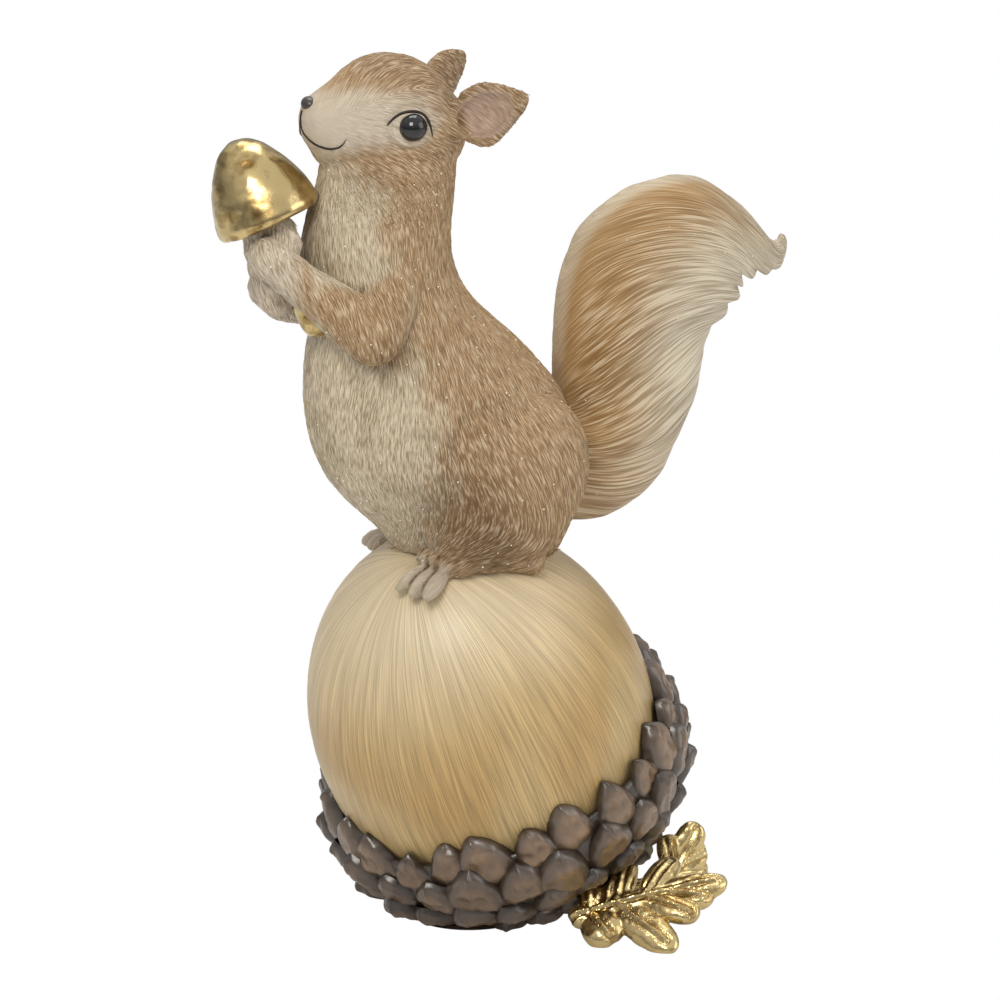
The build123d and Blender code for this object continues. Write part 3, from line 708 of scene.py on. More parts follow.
def skin(name, voxel, above):
    """Everything furred in one smooth skin, kept above or below the neck."""
    parts = [cad_points(node) for node in SOLIDS]
    foot = SOLIDS.index("left_foot")
    parts[foot] = turned_toes(parts[foot][0]), parts[foot][1]
    made = wrapped(name, parts + paws, voxel)
    points, quads = points_of(made), read(made.data.polygons, "vertices", 4, np.int32)
    heights = points[quads][:, :, 2].mean(axis=1)
    kept = quads[heights > NECK_Z - 14 * voxel] if above else quads[heights < NECK_Z + 14 * voxel]
    used, faces = np.unique(kept, return_inverse=True)
    drop(made)
    made = mesh_object(name, points[used], faces.reshape(-1, 4))
    toes = ramp(-points[used][:, 2], -102, -98) * ramp(-points[used][:, 0], 10, 13)
    relax(made, int(round(4 * (COARSE / voxel) ** 2)), 0.5 - 0.3 * toes)
    set_points(made, trimmed_ears(points_of(made)))
    return made


coat = skin("coat", COARSE, False)
face = skin("face", FINE, True)
for made in (coat, face):
    print(made.name, len(made.data.vertices), "points")

# %% [markdown]
# ## Painting the coat
# The ground colour changes from cream on the belly to brown on the back, along an edge that the
# brush left uneven. Muzzle, paws and toes are grey, the ears are pink inside and dark paint lies in
# the mouth. The crown and a patch under the cheek are darker brown, and painted shade darkens the
# haunch low down, where it sits on the nut, under the elbow and along the haunch's crease.

# %% Painting the coat
BROWN, UMBER = linear("#aa8d69"), linear("#6d5234")
CREAM, OLIVE = linear("#cabda5"), linear("#b2a48a")
GREY, PINK = linear("#c9bdab"), linear("#af9787")
LID, LIP = linear("#d3c8b6"), linear("#3a2d22")
FRONT_HEIGHTS = [95, 111, 125, 140, 160, 179, 193, 200]
FRONT_EDGES = [-20, -17, -17, -19, -25, -28, -31, -33]
# Painted shade low on the haunch, where it sits on the nut and under the elbow; the last row is a darker brown
# patch under the cheek.
SHADE_AND_DARK_PATCHES = [
    # depth, middle, radius
    (1.2, HAUNCH_SHADE, 13.0), (0.7, (-2.0, -28.0, 100.0), 8.0),
    (0.5, (-28.0, -24.0, 152.0), 7.0), (0.4, (-30.0, -12.0, 197.0), 7.0),
]


def on_toes(near):
    """1 on the toes of both feet."""
    return ramp(-near[:, 2], -100, -96.5) * ramp(-near[:, 0], 12, 15)


def coat_paint(points, normals, flow):
    """Ground colour of every point: brown above, cream below, grey on muzzle and toes."""
    near = near_side(points)
    x, y, z = near.T
    wobble = 6 * (noise(points, 6.0, 41) - 0.5) + 5 * (combed(points, flow, 1.4, 4.0, 42) - 0.5)
    front = ramp(np.interp(z, FRONT_HEIGHTS, FRONT_EDGES) - x + wobble, -6, 6)
    arm = ramp(-y, 17, 20) * ramp(z, 148, 152) * ramp(-z, -190, -176) * ramp(-x, 22, 27)
    arm = np.maximum(arm, ramp(-x, 46, 49) * ramp(z, 140, 148) * ramp(-z, -196, -188))
    head = ramp(z + 0.25 * (x + 20), 195, 199)
    front *= (1 - arm) * (1 - head)
    muzzle = ((x + 31.5) / 18) ** 2 + ((z - 211.6 - 0.1 * (x + 30)) / 7.4) ** 2
    by_stem = from_line(points, np.array([STEM_FOOT, STEM_FOOT + 30 * STEM_AXIS]))
    pale = np.max([head * ramp(-(muzzle + 0.09 * wobble), -1.65, -0.3),
                   head * ramp(-x, 36, 39) * ramp(-z, -215, -211), on_toes(near),
                   ramp(21 - by_stem, 0, 4) * ramp(-points[:, 0] + 0.6 * points[:, 1], 37, 45)], axis=0)
    # Painted shade on the haunch and under the elbow, and darker brown under the cheek and on the crown.
    shade_and_dark_brown = sum(depth * bump(near, middle, radius) for depth, middle, radius in SHADE_AND_DARK_PATCHES)
    shade_and_dark_brown += 0.5 * head * ramp(z + 0.5 * x, 202, 212)
    around_eye = np.linalg.norm(near - EYE_LOOK, axis=1)
    lid = np.exp(-((around_eye - 4.6) / 1.1) ** 2) * ramp(EYE_LOOK[2] + 2 - z, 0, 3)
    paint = mix(BROWN, CREAM, front)
    # Umber along the haunch's crease is painted shade.
    for colour, share in [(GREY, 0.95 * pale),
                          (OLIVE, 0.7 * front * ramp(noise(points, 7.0, 43), 0.45, 0.75)),
                          (UMBER, 0.8 * np.clip(shade_and_dark_brown, 0, 1)),
                          (UMBER, 0.3 * near_line(near, HAUNCH, 2.2)),
                          (PINK, 0.85 * ear_shares(points, normals)[0]),
                          (LID, 0.7 * lid),
                          (LIP, 0.7 * head * near_line(near, MOUTH, 0.5))]:
        paint = mix(paint, colour, share)
    return paint


print("belly edge from", FRONT_HEIGHTS[0], "to", FRONT_HEIGHTS[-1], "mm")

# %% [markdown]
# ## Sculpting and combing
# Lids, muzzle, mouth, haunch and toes are pressed into the skin first. The combed noise then lifts
# ridges and sinks grooves, a third of a millimetre from one to the other. The same lie of the hair
# steers the paint: thin dark paint runs into the grooves, and an almost dry brush leaves pale colour
# on the ridges. Hollows and the gaps between the toes are darkened with painted shade.

# %% Sculpting and combing
FORMS = [
    # rise, middle, radius: side of the muzzle, cheek, bridge of the nose
    (0.5, (-41.0, -5.5, 208.5), 4.6), (0.8, (-33.0, -12.0, 204.5), 6.0), (-0.6, (-36.0, -5.5, 217.0), 4.5),
]
GROOVE_DEPTH = 0.3


def sculpted_rise(points, normals):
    """How far each point rises for lids, muzzle, mouth, haunch and toes."""
    near = near_side(points)
    away = np.linalg.norm(near - EYE_MIDDLE, axis=1)
    rise = 0.5 * np.exp(-((away - 4.4) / 0.55) ** 2) - 0.5 * np.exp(-((away - 6.0) / 0.9) ** 2)
    rise += sum(height * bump(near, middle, radius) for height, middle, radius in FORMS)
    rise -= 0.7 * near_line(near, MOUTH, 0.5) + 0.55 * near_line(near, HAUNCH, 1.7)
    rise -= 0.8 * toe_gaps(points) * ramp(normals[:, 2], -0.2, 0.4)
    return rise - 0.7 * ramp(near[:, 2], 196, 204) * (1 - ear_shares(points, normals)[1])


def hollows(made, normals):
    """1 where the surface is hollow within two millimetres: smooth it, measure, put it back."""
    points = points_of(made)
    relax(made, 12, 0.5)
    rise = ((points_of(made) - points) * normals).sum(axis=1)
    set_points(made, points)
    return ramp(rise, 0.04, 0.3)


def hair_share(points, normals):
    """1 where the hair is full and less on muzzle, ears, toes, cheek and haunch."""
    near = near_side(points)
    x, _, z = near.T
    smooth = ramp(-x, 33, 40) * ramp(z, 200, 206)
    cheek = np.exp(-((x + 30) / 13) ** 2 - ((z - 211) / 8) ** 2) * ramp(z, 198, 205)
    hair = (1 - 0.8 * smooth) * (1 - 0.5 * ear_shares(points, normals)[0]) * (1 - 0.8 * on_toes(near))
    return hair * (1 - 0.6 * cheek) * (1 - 0.4 * bump(near, HAUNCH_SHADE, 13.0))


def comb(made):
    """Sculpts the strands, paints the points and writes down how the hair lies."""
    points, normals = points_of(made), normals_of(made)
    points = points + normals * sculpted_rise(points, normals)[:, None]
    set_points(made, points)
    normals = normals_of(made)
    flow, hair = hair_flow(points, normals), hair_share(points, normals)
    ridge = 0.7 * combed(points, flow, 0.8, 2.4, 5) + 0.3 * combed(points, flow, 1.6, 4.0, 6)
    # Painted shade: hollows and the gaps between the toes are darkened towards umber.
    dark = (0.65 + 0.3 * on_toes(near_side(points))) * hollows(made, normals)
    paint = mix(mix(coat_paint(points, normals, flow), UMBER, dark), UMBER, 0.8 * toe_gaps(points))
    put_colour(made, "paint", np.clip(paint, 0, 1))
    put_attribute(made, "flow", "FLOAT_VECTOR", flow)
    put_attribute(made, "hair", "FLOAT", hair)
    lengths = hair_lengths(made, flow, normals)
    put_attribute(made, "comb", "FLOAT_VECTOR", np.c_[lengths, np.zeros(len(lengths))])
    set_points(made, points + normals * (GROOVE_DEPTH * (ridge - 0.6) * hair)[:, None])
    made.data.materials.append(FUR)


comb(coat)
comb(face)
print("combed", len(coat.data.polygons) + len(face.data.polygons), "faces")

# %% [markdown]
# ## The tail
# The tail is a plume. Its form is a tube whose section is an oval across each pair of outline points,
# from the root to a blunt, flicked tip.

# %% Tail form
TAIL_ROOT = np.array([15.13, MIDDLE_Y, 96.97])
TAIL_REACH, TAIL_HEIGHT, TAIL_THICKNESS = 70.0, 92.0, 28.0
TAIL_TABLE = np.array([
    # front back, front up, rear back, rear up, thickness
    (0.010, 0.345, 0.010, 0.050, 0.60), (0.100, 0.410, 0.305, 0.042, 0.80),
    (0.104, 0.508, 0.505, 0.152, 0.95), (0.106, 0.616, 0.618, 0.338, 1.00),
    (0.128, 0.725, 0.678, 0.505, 1.00), (0.212, 0.860, 0.738, 0.584, 0.96),
    (0.405, 0.960, 0.795, 0.633, 0.84), (0.635, 0.966, 0.820, 0.669, 0.64),
    (0.805, 0.886, 0.878, 0.676, 0.42), (0.930, 0.777, 0.955, 0.690, 0.24),
    (0.966, 0.788, 0.986, 0.742, 0.12), (0.981, 0.782, 0.983, 0.776, 0.0),
])
rows, columns = 400, 232
along = np.linspace(0, 1, rows)
outline = through(TAIL_TABLE, along ** 0.9 * (len(TAIL_TABLE) - 2) + ramp(along, 0.95, 1.0))
outline[:, 4] = np.maximum(outline[:, 4], 0.004)
turn = np.linspace(0, 2 * np.pi, columns, endpoint=False)
across = np.cos(turn)
front = TAIL_ROOT + np.c_[outline[:, 0] * TAIL_REACH, np.zeros(rows), outline[:, 1] * TAIL_HEIGHT]
rear = TAIL_ROOT + np.c_[outline[:, 2] * TAIL_REACH, np.zeros(rows), outline[:, 3] * TAIL_HEIGHT]
half = (rear - front) / 2
sheet = (front + half)[:, None, :] + half[:, None, :] * across[None, :, None]
sheet[:, :, 1] += outline[:, 4, None] * TAIL_THICKNESS / 2 * np.sin(turn)[None, :]
tail_points = sheet.reshape(-1, 3)
tail = mesh_object("tail_plume", tail_points, grid_faces(rows, columns, True)[:, ::-1])
print("tail", len(tail.data.polygons), "faces")

# %% [markdown]
# ## Strands on the tail
# Strands leave the root, climb along the front edge and sweep over to the rear edge. A strand needs
# a number that stays the same along a hair: the way along the plume, less a share of the way across
# it. Noise over that number gives locks, hairs and wisps.

# %% Tail strands
PLUME_LENGTH = 120.0
LOCK_WIDTH, HAIR_WIDTH, WISP_WIDTH, TOOTH_WIDTH = 13.0, 4.4, 1.9, 11.0
strand_along, strand_across = np.repeat(along, columns), np.tile(across, rows)
strand = PLUME_LENGTH * (strand_along - 0.5 * ((1.0001 + strand_across) / 2) ** 0.66)
strand = strand + 9.0 * (noise_line(strand_along * 5 + strand * 0.03 + 30, 3) - 0.5)
lock = 1 - np.abs(2 * noise_line(strand / LOCK_WIDTH + 60, 11) - 1)
hair, wisp = noise_line(strand / HAIR_WIDTH + 200, 12), noise_line(strand / WISP_WIDTH + 600, 13)
fade = ramp(strand_along, 0.0, 0.06) * (1 - 0.75 * ramp(strand_along, 0.85, 1.0))
lift = fade * (1.6 * (lock - 0.6) + 0.8 * (hair - 0.5) + 0.4 * (wisp - 0.5))
teeth = np.abs(np.sin(np.pi * strand / TOOTH_WIDTH))
edge = ramp(strand_across, 0.6, 1.0) * ramp(strand_along, 0.35, 0.5) * (1 - ramp(strand_along, 0.78, 0.88))
outward = np.repeat(half / np.linalg.norm(half, axis=1, keepdims=True).clip(1e-6), columns, axis=0)
moved = normals_of(tail) * lift[:, None] + outward * (edge * 2.2 * (teeth - 0.6))[:, None]
set_points(tail, tail_points + moved)
gold_brown, plume_cream = linear("#a88658"), linear("#cfc4ae")
# Cream towards the rear edge and the tip is the tail's own colour; the thin pale band along the front edge is a
# painted highlight.
pale_fringe_and_highlight = np.maximum(ramp(strand_across + 0.7 * strand_along, -0.3, 0.8), 0.7 * ramp(-strand_across, 0.9, 1.0))
pale_fringe_and_highlight = np.maximum(pale_fringe_and_highlight, ramp(strand_along, 0.6, 0.92)) * (0.3 + 0.7 * ramp(strand_along, 0.04, 0.3))
tail_paint = mix(gold_brown, plume_cream, pale_fringe_and_highlight) * (0.66 + 0.25 * lock + 0.15 * hair + 0.1 * wisp)[:, None]
put_colour(tail, "paint", np.clip(tail_paint, 0, 1))
put_attribute(tail, "comb", "FLOAT_VECTOR", np.c_[strand * 0.45, strand_along * 150.0, np.zeros(len(strand))])
put_attribute(tail, "hair", "FLOAT", 1 - 0.6 * ramp(-strand_across, 0.6, 0.97))
tail.data.materials.append(PLUME)
print("strands over", len(strand), "points")

# %% [markdown]
# ## The nut
# The nut is turned about a leaning axis, so rings of points about that axis give its form. The brush
# was drawn from the tip downwards, and every streak keeps its angle about the axis: noise over the
# angle makes streaks, and a little noise along them breaks them up.

# %% Acorn nut
NUT_MIDDLE = np.array([4.13, 2.44, 51.97])
AXIS = np.array([-0.4243, -0.2499, 0.8704])
SIDE = unit(np.cross(AXIS, (0.0, 1.0, 0.0)))
AHEAD = np.cross(AXIS, SIDE)
NUT_RADIUS, NUT_RISE = 42.6, 52.0
NUT_COLUMNS, CUP_COLUMNS = 360, 144


def ring_grid(profile, columns):
    """Points of a turned form; profile holds radius and height, about the acorn's axis."""
    turn = np.linspace(0, 2 * np.pi, columns, endpoint=False)
    out = np.cos(turn)[:, None] * SIDE + np.sin(turn)[:, None] * AHEAD
    grid = profile[:, None, 0, None] * out[None] + profile[:, None, 1, None] * AXIS
    return grid.reshape(-1, 3), np.repeat(np.arange(len(profile)), columns), np.tile(turn, len(profile))


lift = np.linspace(0.004, np.pi * 0.72, 190)
profile = np.c_[NUT_RADIUS * np.sin(lift), NUT_RISE * np.cos(lift)]
profile = np.concatenate([profile, [[0.01, profile[-1, 1]]]])
nut_local, ring, angle = ring_grid(profile, NUT_COLUMNS)
height = profile[ring, 1] / NUT_RISE
circle = np.c_[np.cos(angle), np.sin(angle)]
around = np.c_[circle * 20.0, height * 1.1]
streak = 0.5 * noise(around * np.array([3.2, 3.2, 2.0]), 1.0, 31)
streak += 0.5 * noise(around * np.array([1.1, 1.1, 1.2]), 1.0, 32)
tip_dent = -0.5 * np.exp(-((1 - height) / 0.0035) ** 2)
rise = 0.22 * (streak - 0.5) + tip_dent
nut_points = NUT_MIDDLE + nut_local + unit(nut_local) * rise[:, None]
nut = mesh_object("acorn_nut_shell", nut_points, grid_faces(len(profile), NUT_COLUMNS, True))
golden, tan, cream = linear("#af8c54"), linear("#c1a674"), linear("#dbcbac")
blotch = noise(nut_points, 16.0, 33)
nut_paint = mix(tan, cream, 0.8 * ramp(height, 0.3, 0.95))
waist = ramp(0.6 - np.abs(height - 0.1), 0.0, 0.6)
nut_paint = mix(nut_paint, golden, 0.75 * waist * ramp(blotch, 0.25, 0.65))
nut_paint = mix(nut_paint, cream, 0.5 * ramp(-height, 0.32, 0.5))
put_colour(nut, "paint", nut_paint * (0.9 + 0.2 * streak)[:, None])
put_attribute(nut, "wheel", "FLOAT_VECTOR", np.c_[circle * NUT_RADIUS, height * NUT_RISE])
nut.data.materials.append(NUT)
print("nut", len(nut.data.polygons), "faces")

# %% [markdown]
# ## The cup
# The cup is a bowl turned about the nut's axis and cut flat where it stands on its felt. The rows of
# overlapping scales follow in the next cells.

# %% Cup bowl
FELT_TOP = 1.05
CUP_MIDDLE = np.array([12.41, 7.31, 35.0])
CUP_RADIUS, CUP_DEPTH, CUP_RIM = 44.6, 30.5, 6.5
sink = np.linspace(-math.asin(CUP_RIM / CUP_DEPTH), np.pi / 2 - 0.003, 60)
profile = np.c_[CUP_RADIUS * np.cos(sink), -CUP_DEPTH * np.sin(sink)]
inner = np.c_[[NUT_RADIUS * 0.9, NUT_RADIUS * 0.97], [CUP_RIM - 6.0, CUP_RIM - 0.8]]
profile = np.concatenate([inner, profile])
bowl_points = CUP_MIDDLE + ring_grid(profile, CUP_COLUMNS)[0]
bowl_points[:, 2] = np.maximum(bowl_points[:, 2], FELT_TOP)
bowl = mesh_object("cup_bowl", bowl_points, grid_faces(len(profile), CUP_COLUMNS, True))
put_colour(bowl, "paint", np.tile(linear("#382e25"), (len(bowl_points), 1)))
bowl.data.materials.append(SCALES)
print("cup bowl", len(bowl.data.polygons), "faces")

# %% [markdown]
# ## One scale
# A scale is sculpted as a small grid: a pointed arch, domed, with a keel and wrinkles. Dark paint
# stays at its edges, and the raised middle is rubbed brown.

# %% One scale
cells = 23
share_along, share_across = np.meshgrid(np.linspace(0, 1, cells), np.linspace(-1, 1, cells), indexing="ij")
arch = (1 - share_along ** 2.0) ** 0.8 * (0.96 + 0.25 * share_along)
scale_x, scale_y = 8.3 * arch * share_across, 18.0 * share_along - 9.3
dome = (1 - share_across ** 6) ** 0.5 * (1 - share_along ** 10) ** 0.5 * ramp(share_along, -0.3, 0.35)
swell = (1 - 0.75 * share_across ** 2) * np.sin(np.pi * np.clip(share_along, 0, 1) ** 0.8 * 0.86)
flat_points = np.c_[scale_x.ravel() * 0.9, scale_y.ravel() * 0.28, np.zeros(cells ** 2)]
crinkle = noise(flat_points, 1.0, 51).reshape(cells, cells)
keel = np.exp(-(share_across / 0.2) ** 2) * ramp(share_along, 0.3, 0.9)
scale_z = -1.9 + dome * (2.3 + 2.2 * swell + 0.5 * keel + 1.0 * (crinkle - 0.5)) + 0.27 * scale_y
scale_points = np.stack([scale_x, scale_y, scale_z], axis=-1).reshape(-1, 3)
scale_mould = mesh_object("scale_mould", scale_points, grid_faces(cells, cells, False)[:, ::-1])
rubbed = ramp((dome * swell).ravel(), 0.45, 0.95)
scale_tint = mix(linear("#2a2119"), linear("#56483b"), ramp(dome.ravel(), 0.3, 0.9))
scale_tint = mix(scale_tint, linear("#8f7050"), 0.8 * rubbed * (0.35 + 0.65 * crinkle.ravel()))
put_colour(scale_mould, "tint", scale_tint)
print("one scale", len(scale_mould.data.polygons), "faces")

# %% [markdown]
# ## Places for the scales
# A list of points says where each scale stands, how it is turned and how large it is. Every other
# row is shifted by half a scale, and small chances keep the rows from looking stamped.

# %% Places for the scales
SCALES_IN_ROW, LOWEST_SCALE = 24, 1.5
SCALE_ROWS = [
    # depth from the rim's level to the bowl's foot, size
    (-0.12, 0.92), (0.08, 1.0), (0.27, 1.0), (0.45, 0.93), (0.62, 0.82), (0.78, 0.64), (0.9, 0.5),
]
spots, leans, shares = [], [], []
for row, (depth, taper) in enumerate(SCALE_ROWS):
    for number in range(SCALES_IN_ROW):
        chance = [float(lattice_value(np.array([[number, row, kind]]), 64)[0]) - 0.5 for kind in range(3)]
        wheel = 2 * np.pi * (number + row / 2 + 0.3 * chance[0]) / SCALES_IN_ROW
        sunk = (depth + 0.07 * chance[1]) * np.pi / 2
        out = math.cos(wheel) * SIDE + math.sin(wheel) * AHEAD
        where = CUP_MIDDLE + CUP_RADIUS * math.cos(sunk) * out - CUP_DEPTH * math.sin(sunk) * AXIS
        lie = unit(out * math.cos(sunk) / CUP_RADIUS - AXIS * math.sin(sunk) / CUP_DEPTH)
        tip = unit(AXIS - lie * (AXIS @ lie))
        tip = unit(tip + 0.4 * chance[2] * np.cross(tip, lie))
        facing = Matrix((np.cross(tip, lie), tip, lie)).transposed()
        if where[2] > LOWEST_SCALE:
            spots.append(where)
            leans.append(facing.to_euler())
            shares.append(taper)
print(len(spots), "scales on the cup")

# %% [markdown]
# ## Scales on the bowl
# A Geometry Nodes group sets the scale on each point, varies its size a little and realises the
# copies. The realised scales are then roughened together and darkened in places.

# %% Scales on the bowl
def node_group(name, sockets):
    """A Geometry Nodes group with geometry in and out and named inputs; also its input sockets."""
    tree = bpy.data.node_groups.new(name, "GeometryNodeTree")
    for way in ("INPUT", "OUTPUT"):
        tree.interface.new_socket("Geometry", in_out=way, socket_type="NodeSocketGeometry")
    for label, kind, value in sockets:
        made = tree.interface.new_socket(label, in_out="INPUT", socket_type="NodeSocket" + kind)
        if value is not None:
            made.default_value = value
    return tree, add(tree, "NodeGroupInput").outputs


def named(tree, attribute, kind):
    """What the points carry under a name."""
    return add(tree, "GeometryNodeInputNamedAttribute", {"data_type": kind}, Name=attribute).outputs["Attribute"]


def close_group(tree, geometry, material):
    """Realises the copies, gives them the material and ends the group."""
    whole = add(tree, "GeometryNodeRealizeInstances", Geometry=geometry)
    dressed = add(tree, "GeometryNodeSetMaterial", Geometry=whole.outputs["Geometry"], Material=material)
    add(tree, "NodeGroupOutput", Geometry=dressed.outputs["Geometry"])


def run_group(made, tree, values):
    """Adds the group to an object with named input values and turns the result into a mesh."""
    modifier = made.modifiers.new(tree.name, "NODES")
    modifier.node_group = tree
    for item in tree.interface.items_tree:
        if item.in_out == "INPUT" and item.name in values:
            modifier[item.identifier] = values[item.name]
    made.update_tag()
    return plain(made)


def scale_group():
    """Sets one scale on each point, turned by the point's own rotation and varied in size."""
    tree, given = node_group("scales on points", [("Scale object", "Object", None), ("Variation", "Float", 0.1),
                                                  ("Material", "Material", None)])
    shape = add(tree, "GeometryNodeObjectInfo", Object=given["Scale object"])
    chance = add(tree, "FunctionNodeRandomValue", Min=maths(tree, "SUBTRACT", 1.0, given["Variation"]),
                 Max=maths(tree, "ADD", 1.0, given["Variation"]), Seed=7)
    size = maths(tree, "MULTIPLY", named(tree, "share", "FLOAT"), chance.outputs["Value"])
    turn = add(tree, "FunctionNodeEulerToRotation", Euler=named(tree, "lean", "FLOAT_VECTOR"))
    placed = add(tree, "GeometryNodeInstanceOnPoints", Points=given["Geometry"],
                 Instance=shape.outputs["Geometry"], Rotation=turn.outputs["Rotation"], Scale=size)
    close_group(tree, placed.outputs["Instances"], given["Material"])
    return tree


def point_cloud(name, places):
    """A mesh of bare points to set copies on."""
    mesh = bpy.data.meshes.new(name)
    mesh.from_pydata((np.array(places) * MM).tolist(), [], [])
    made = bpy.data.objects.new(name, mesh)
    bpy.context.scene.collection.objects.link(made)
    return made


scales = point_cloud("cup_scales", spots)
put_attribute(scales, "lean", "FLOAT_VECTOR", leans)
put_attribute(scales, "share", "FLOAT", shares)
run_group(scales, scale_group(), {"Scale object": scale_mould, "Variation": 0.16, "Material": SCALES})
drop(scale_mould)
scale_points = points_of(scales)
scale_points[:, 2] = np.maximum(scale_points[:, 2], FELT_TOP)
rise = 0.6 * (noise(scale_points, 2.0, 61) - 0.5) + 1.3 * (noise(scale_points, 7.0, 63) - 0.5)
set_points(scales, scale_points + normals_of(scales) * rise[:, None])
tint = colours_of(scales, "tint") * (0.7 + 0.6 * noise(scale_points, 9.0, 62))[:, None]
put_colour(scales, "paint", tint)
scales.data.shade_smooth()
print("cup scales", len(scales.data.polygons), "faces")

# %% [markdown]
# ## The gilded mushroom
# Cap and stem are turned forms with an uneven, beaten surface under metal leaf. The cap is a bell
# with a rolled lip; the stem swells at its foot.

# %% Mushroom
STEM_SIDE = unit(np.cross(STEM_AXIS, (0.0, 0.0, 1.0)))
STEM_AHEAD = np.cross(STEM_AXIS, STEM_SIDE)


def turned(name, profile, columns, dents, seed):
    """A turned form on the stem's axis with a beaten surface."""
    profile = through(np.array(profile, dtype=float), np.linspace(0, len(profile) - 1, 14 * len(profile)))
    profile[:, 0] = np.maximum(profile[:, 0], 0.02)
    turn = np.linspace(0, 2 * np.pi, columns, endpoint=False)
    out = np.cos(turn)[:, None] * STEM_SIDE + np.sin(turn)[:, None] * STEM_AHEAD
    points = STEM_FOOT + profile[:, None, 0, None] * out[None] + profile[:, None, 1, None] * STEM_AXIS
    made = mesh_object(name, points.reshape(-1, 3), grid_faces(len(profile), columns, True))
    points, normals = points_of(made), normals_of(made)
    left = ramp(-(points - STEM_FOOT) @ VIEW_RIGHT, 12, 17)
    rise = noise(points, 5.5, seed) - 0.5 + 0.5 * (noise(points, 2.0, seed + 1) - 0.5)
    set_points(made, points + normals * (dents * (0.4 + left) * rise)[:, None])
    left += ramp(33.5 - (points - STEM_FOOT) @ STEM_AXIS, 0, 1.5)
    patina = 0.15 * left * ramp(noise(points, 2.2, seed + 2), 0.35, 0.6)
    put_attribute(made, "patina", "FLOAT", patina)
    made.data.materials.append(GOLD)
    return made


CAP_PROFILE = [
    # radius, height on the stem
    (0, 53.4), (2.0, 53.2), (4.4, 52.0), (6.6, 50.0), (9.0, 46.4), (11.0, 42.6), (12.6, 38.6), (13.4, 34.6),
    (13.6, 32.8), (13.1, 31.5), (12.0, 31.1), (10.8, 32.0), (9.6, 33.8), (5.0, 34.2), (0, 34.2),
]
STEM_PROFILE = [
    (0, -0.1), (1.8, 0.2), (3.3, 1.5), (4.1, 4.0), (4.0, 8.0), (3.7, 14.0), (3.4, 20.0), (3.3, 26.0),
    (3.4, 33.0), (0, 33.2),
]
cap = turned("mushroom_cap_gilt", CAP_PROFILE, 120, 0.32, 71)
stem = turned("mushroom_stem_gilt", STEM_PROFILE, 64, 0.4, 75)
print("mushroom", len(cap.data.polygons) + len(stem.data.polygons), "faces")

# %% [markdown]
# ## The oak leaves
# A cast leaf is thick, and its lobes are soft pads that were pressed together. So each lobe is a
# flattened ball from the midrib to the lobe's tip, and a voxel remesh joins them. Veins are then
# drawn into the joined pad: a thin ridge between two grooves along every lobe.

# %% Leaves
FRONT_LOBES = [
    # start on the midrib, tip along it, tip beside it, width
    (-2.0, 26.0, 0.0, 7.0), (0.0, 2.2, 9.8, 6.6), (4.5, 7.8, 10.2, 4.6), (7.0, 12.0, 15.4, 7.0),
    (14.0, 23.4, 11.8, 8.2), (15.0, 35.4, 0.3, 8.5), (0.0, 4.6, -10.8, 11.0), (7.0, 19.4, -17.2, 9.6),
    (15.0, 26.6, -8.8, 8.0), (20.0, 31.0, -4.6, 6.0), (1.0, -5.6, -1.4, 6.5),
]
REAR_LOBES = [(0.0, 11.0, 0.0, 8.0), (2.5, 9.0, 7.0, 6.5), (5.0, 16.0, 1.2, 8.0), (4.0, 12.0, -5.0, 7.0),
              (1.0, 7.6, -9.2, 7.5)]
STALK_LOBES = [(0.0, 28.0, 0.0, 3.5), (0.0, 4.7, 16.0, 3.5)]
LEAF_VOXEL, TABLE_GAP = 0.35, 0.3


def oak_leaf(name, base, along, across, lobes, thick, seed):
    """A thick lobed leaf in the plane of two directions."""
    base, along = np.array(base), unit(along)
    across = unit(across - along * (along @ across))
    up = np.cross(along, across)
    shape, faces = ball((0.0, 0.0, 0.0), 1.0, 14)
    plump = np.sign(shape[:, :2]) * np.abs(shape[:, :2]) ** 0.85
    pads, veins = [], []
    for start, tip, beside, width in lobes:
        root, end = along * start, along * tip + across * beside
        reach = np.linalg.norm(end - root)
        way = (end - root) / reach
        pad = base + (root + end) / 2 + plump[:, :1] * way * reach / 2
        pad = pad + plump[:, 1:] * np.cross(up, way) * width / 2 + shape[:, 2:] * up * thick / 2
        pads.append((pad, faces))
        veins.append(np.array([base + root, base + root + way * reach * 0.85]))
    made = wrapped(name, pads, LEAF_VOXEL)
    relax(made, 3, 0.5)
    points, normals = points_of(made), normals_of(made)
    flat = points - np.outer((points - base) @ up, up)
    away = np.min([from_line(flat, vein) for vein in veins], axis=0)
    groove = np.exp(-((away - 1.1) / 0.5) ** 2)
    rise = 0.3 * np.exp(-(away / 0.4) ** 2) - 0.35 * groove
    rise += 0.7 * (noise(points, 4.0, seed) - 0.5) + 0.2 * (noise(points, 1.4, seed + 1) - 0.5)
    put_attribute(made, "patina", "FLOAT", 0.2 * groove + 0.4 * hollows(made, normals))
    droop = 0.012 * np.maximum((points - base) @ across, 0) ** 2
    points = points + normals * rise[:, None] - np.outer(droop, up)
    points[:, 2] = np.maximum(points[:, 2], TABLE_GAP)
    set_points(made, points)
    made.data.materials.append(GOLD)
    return made


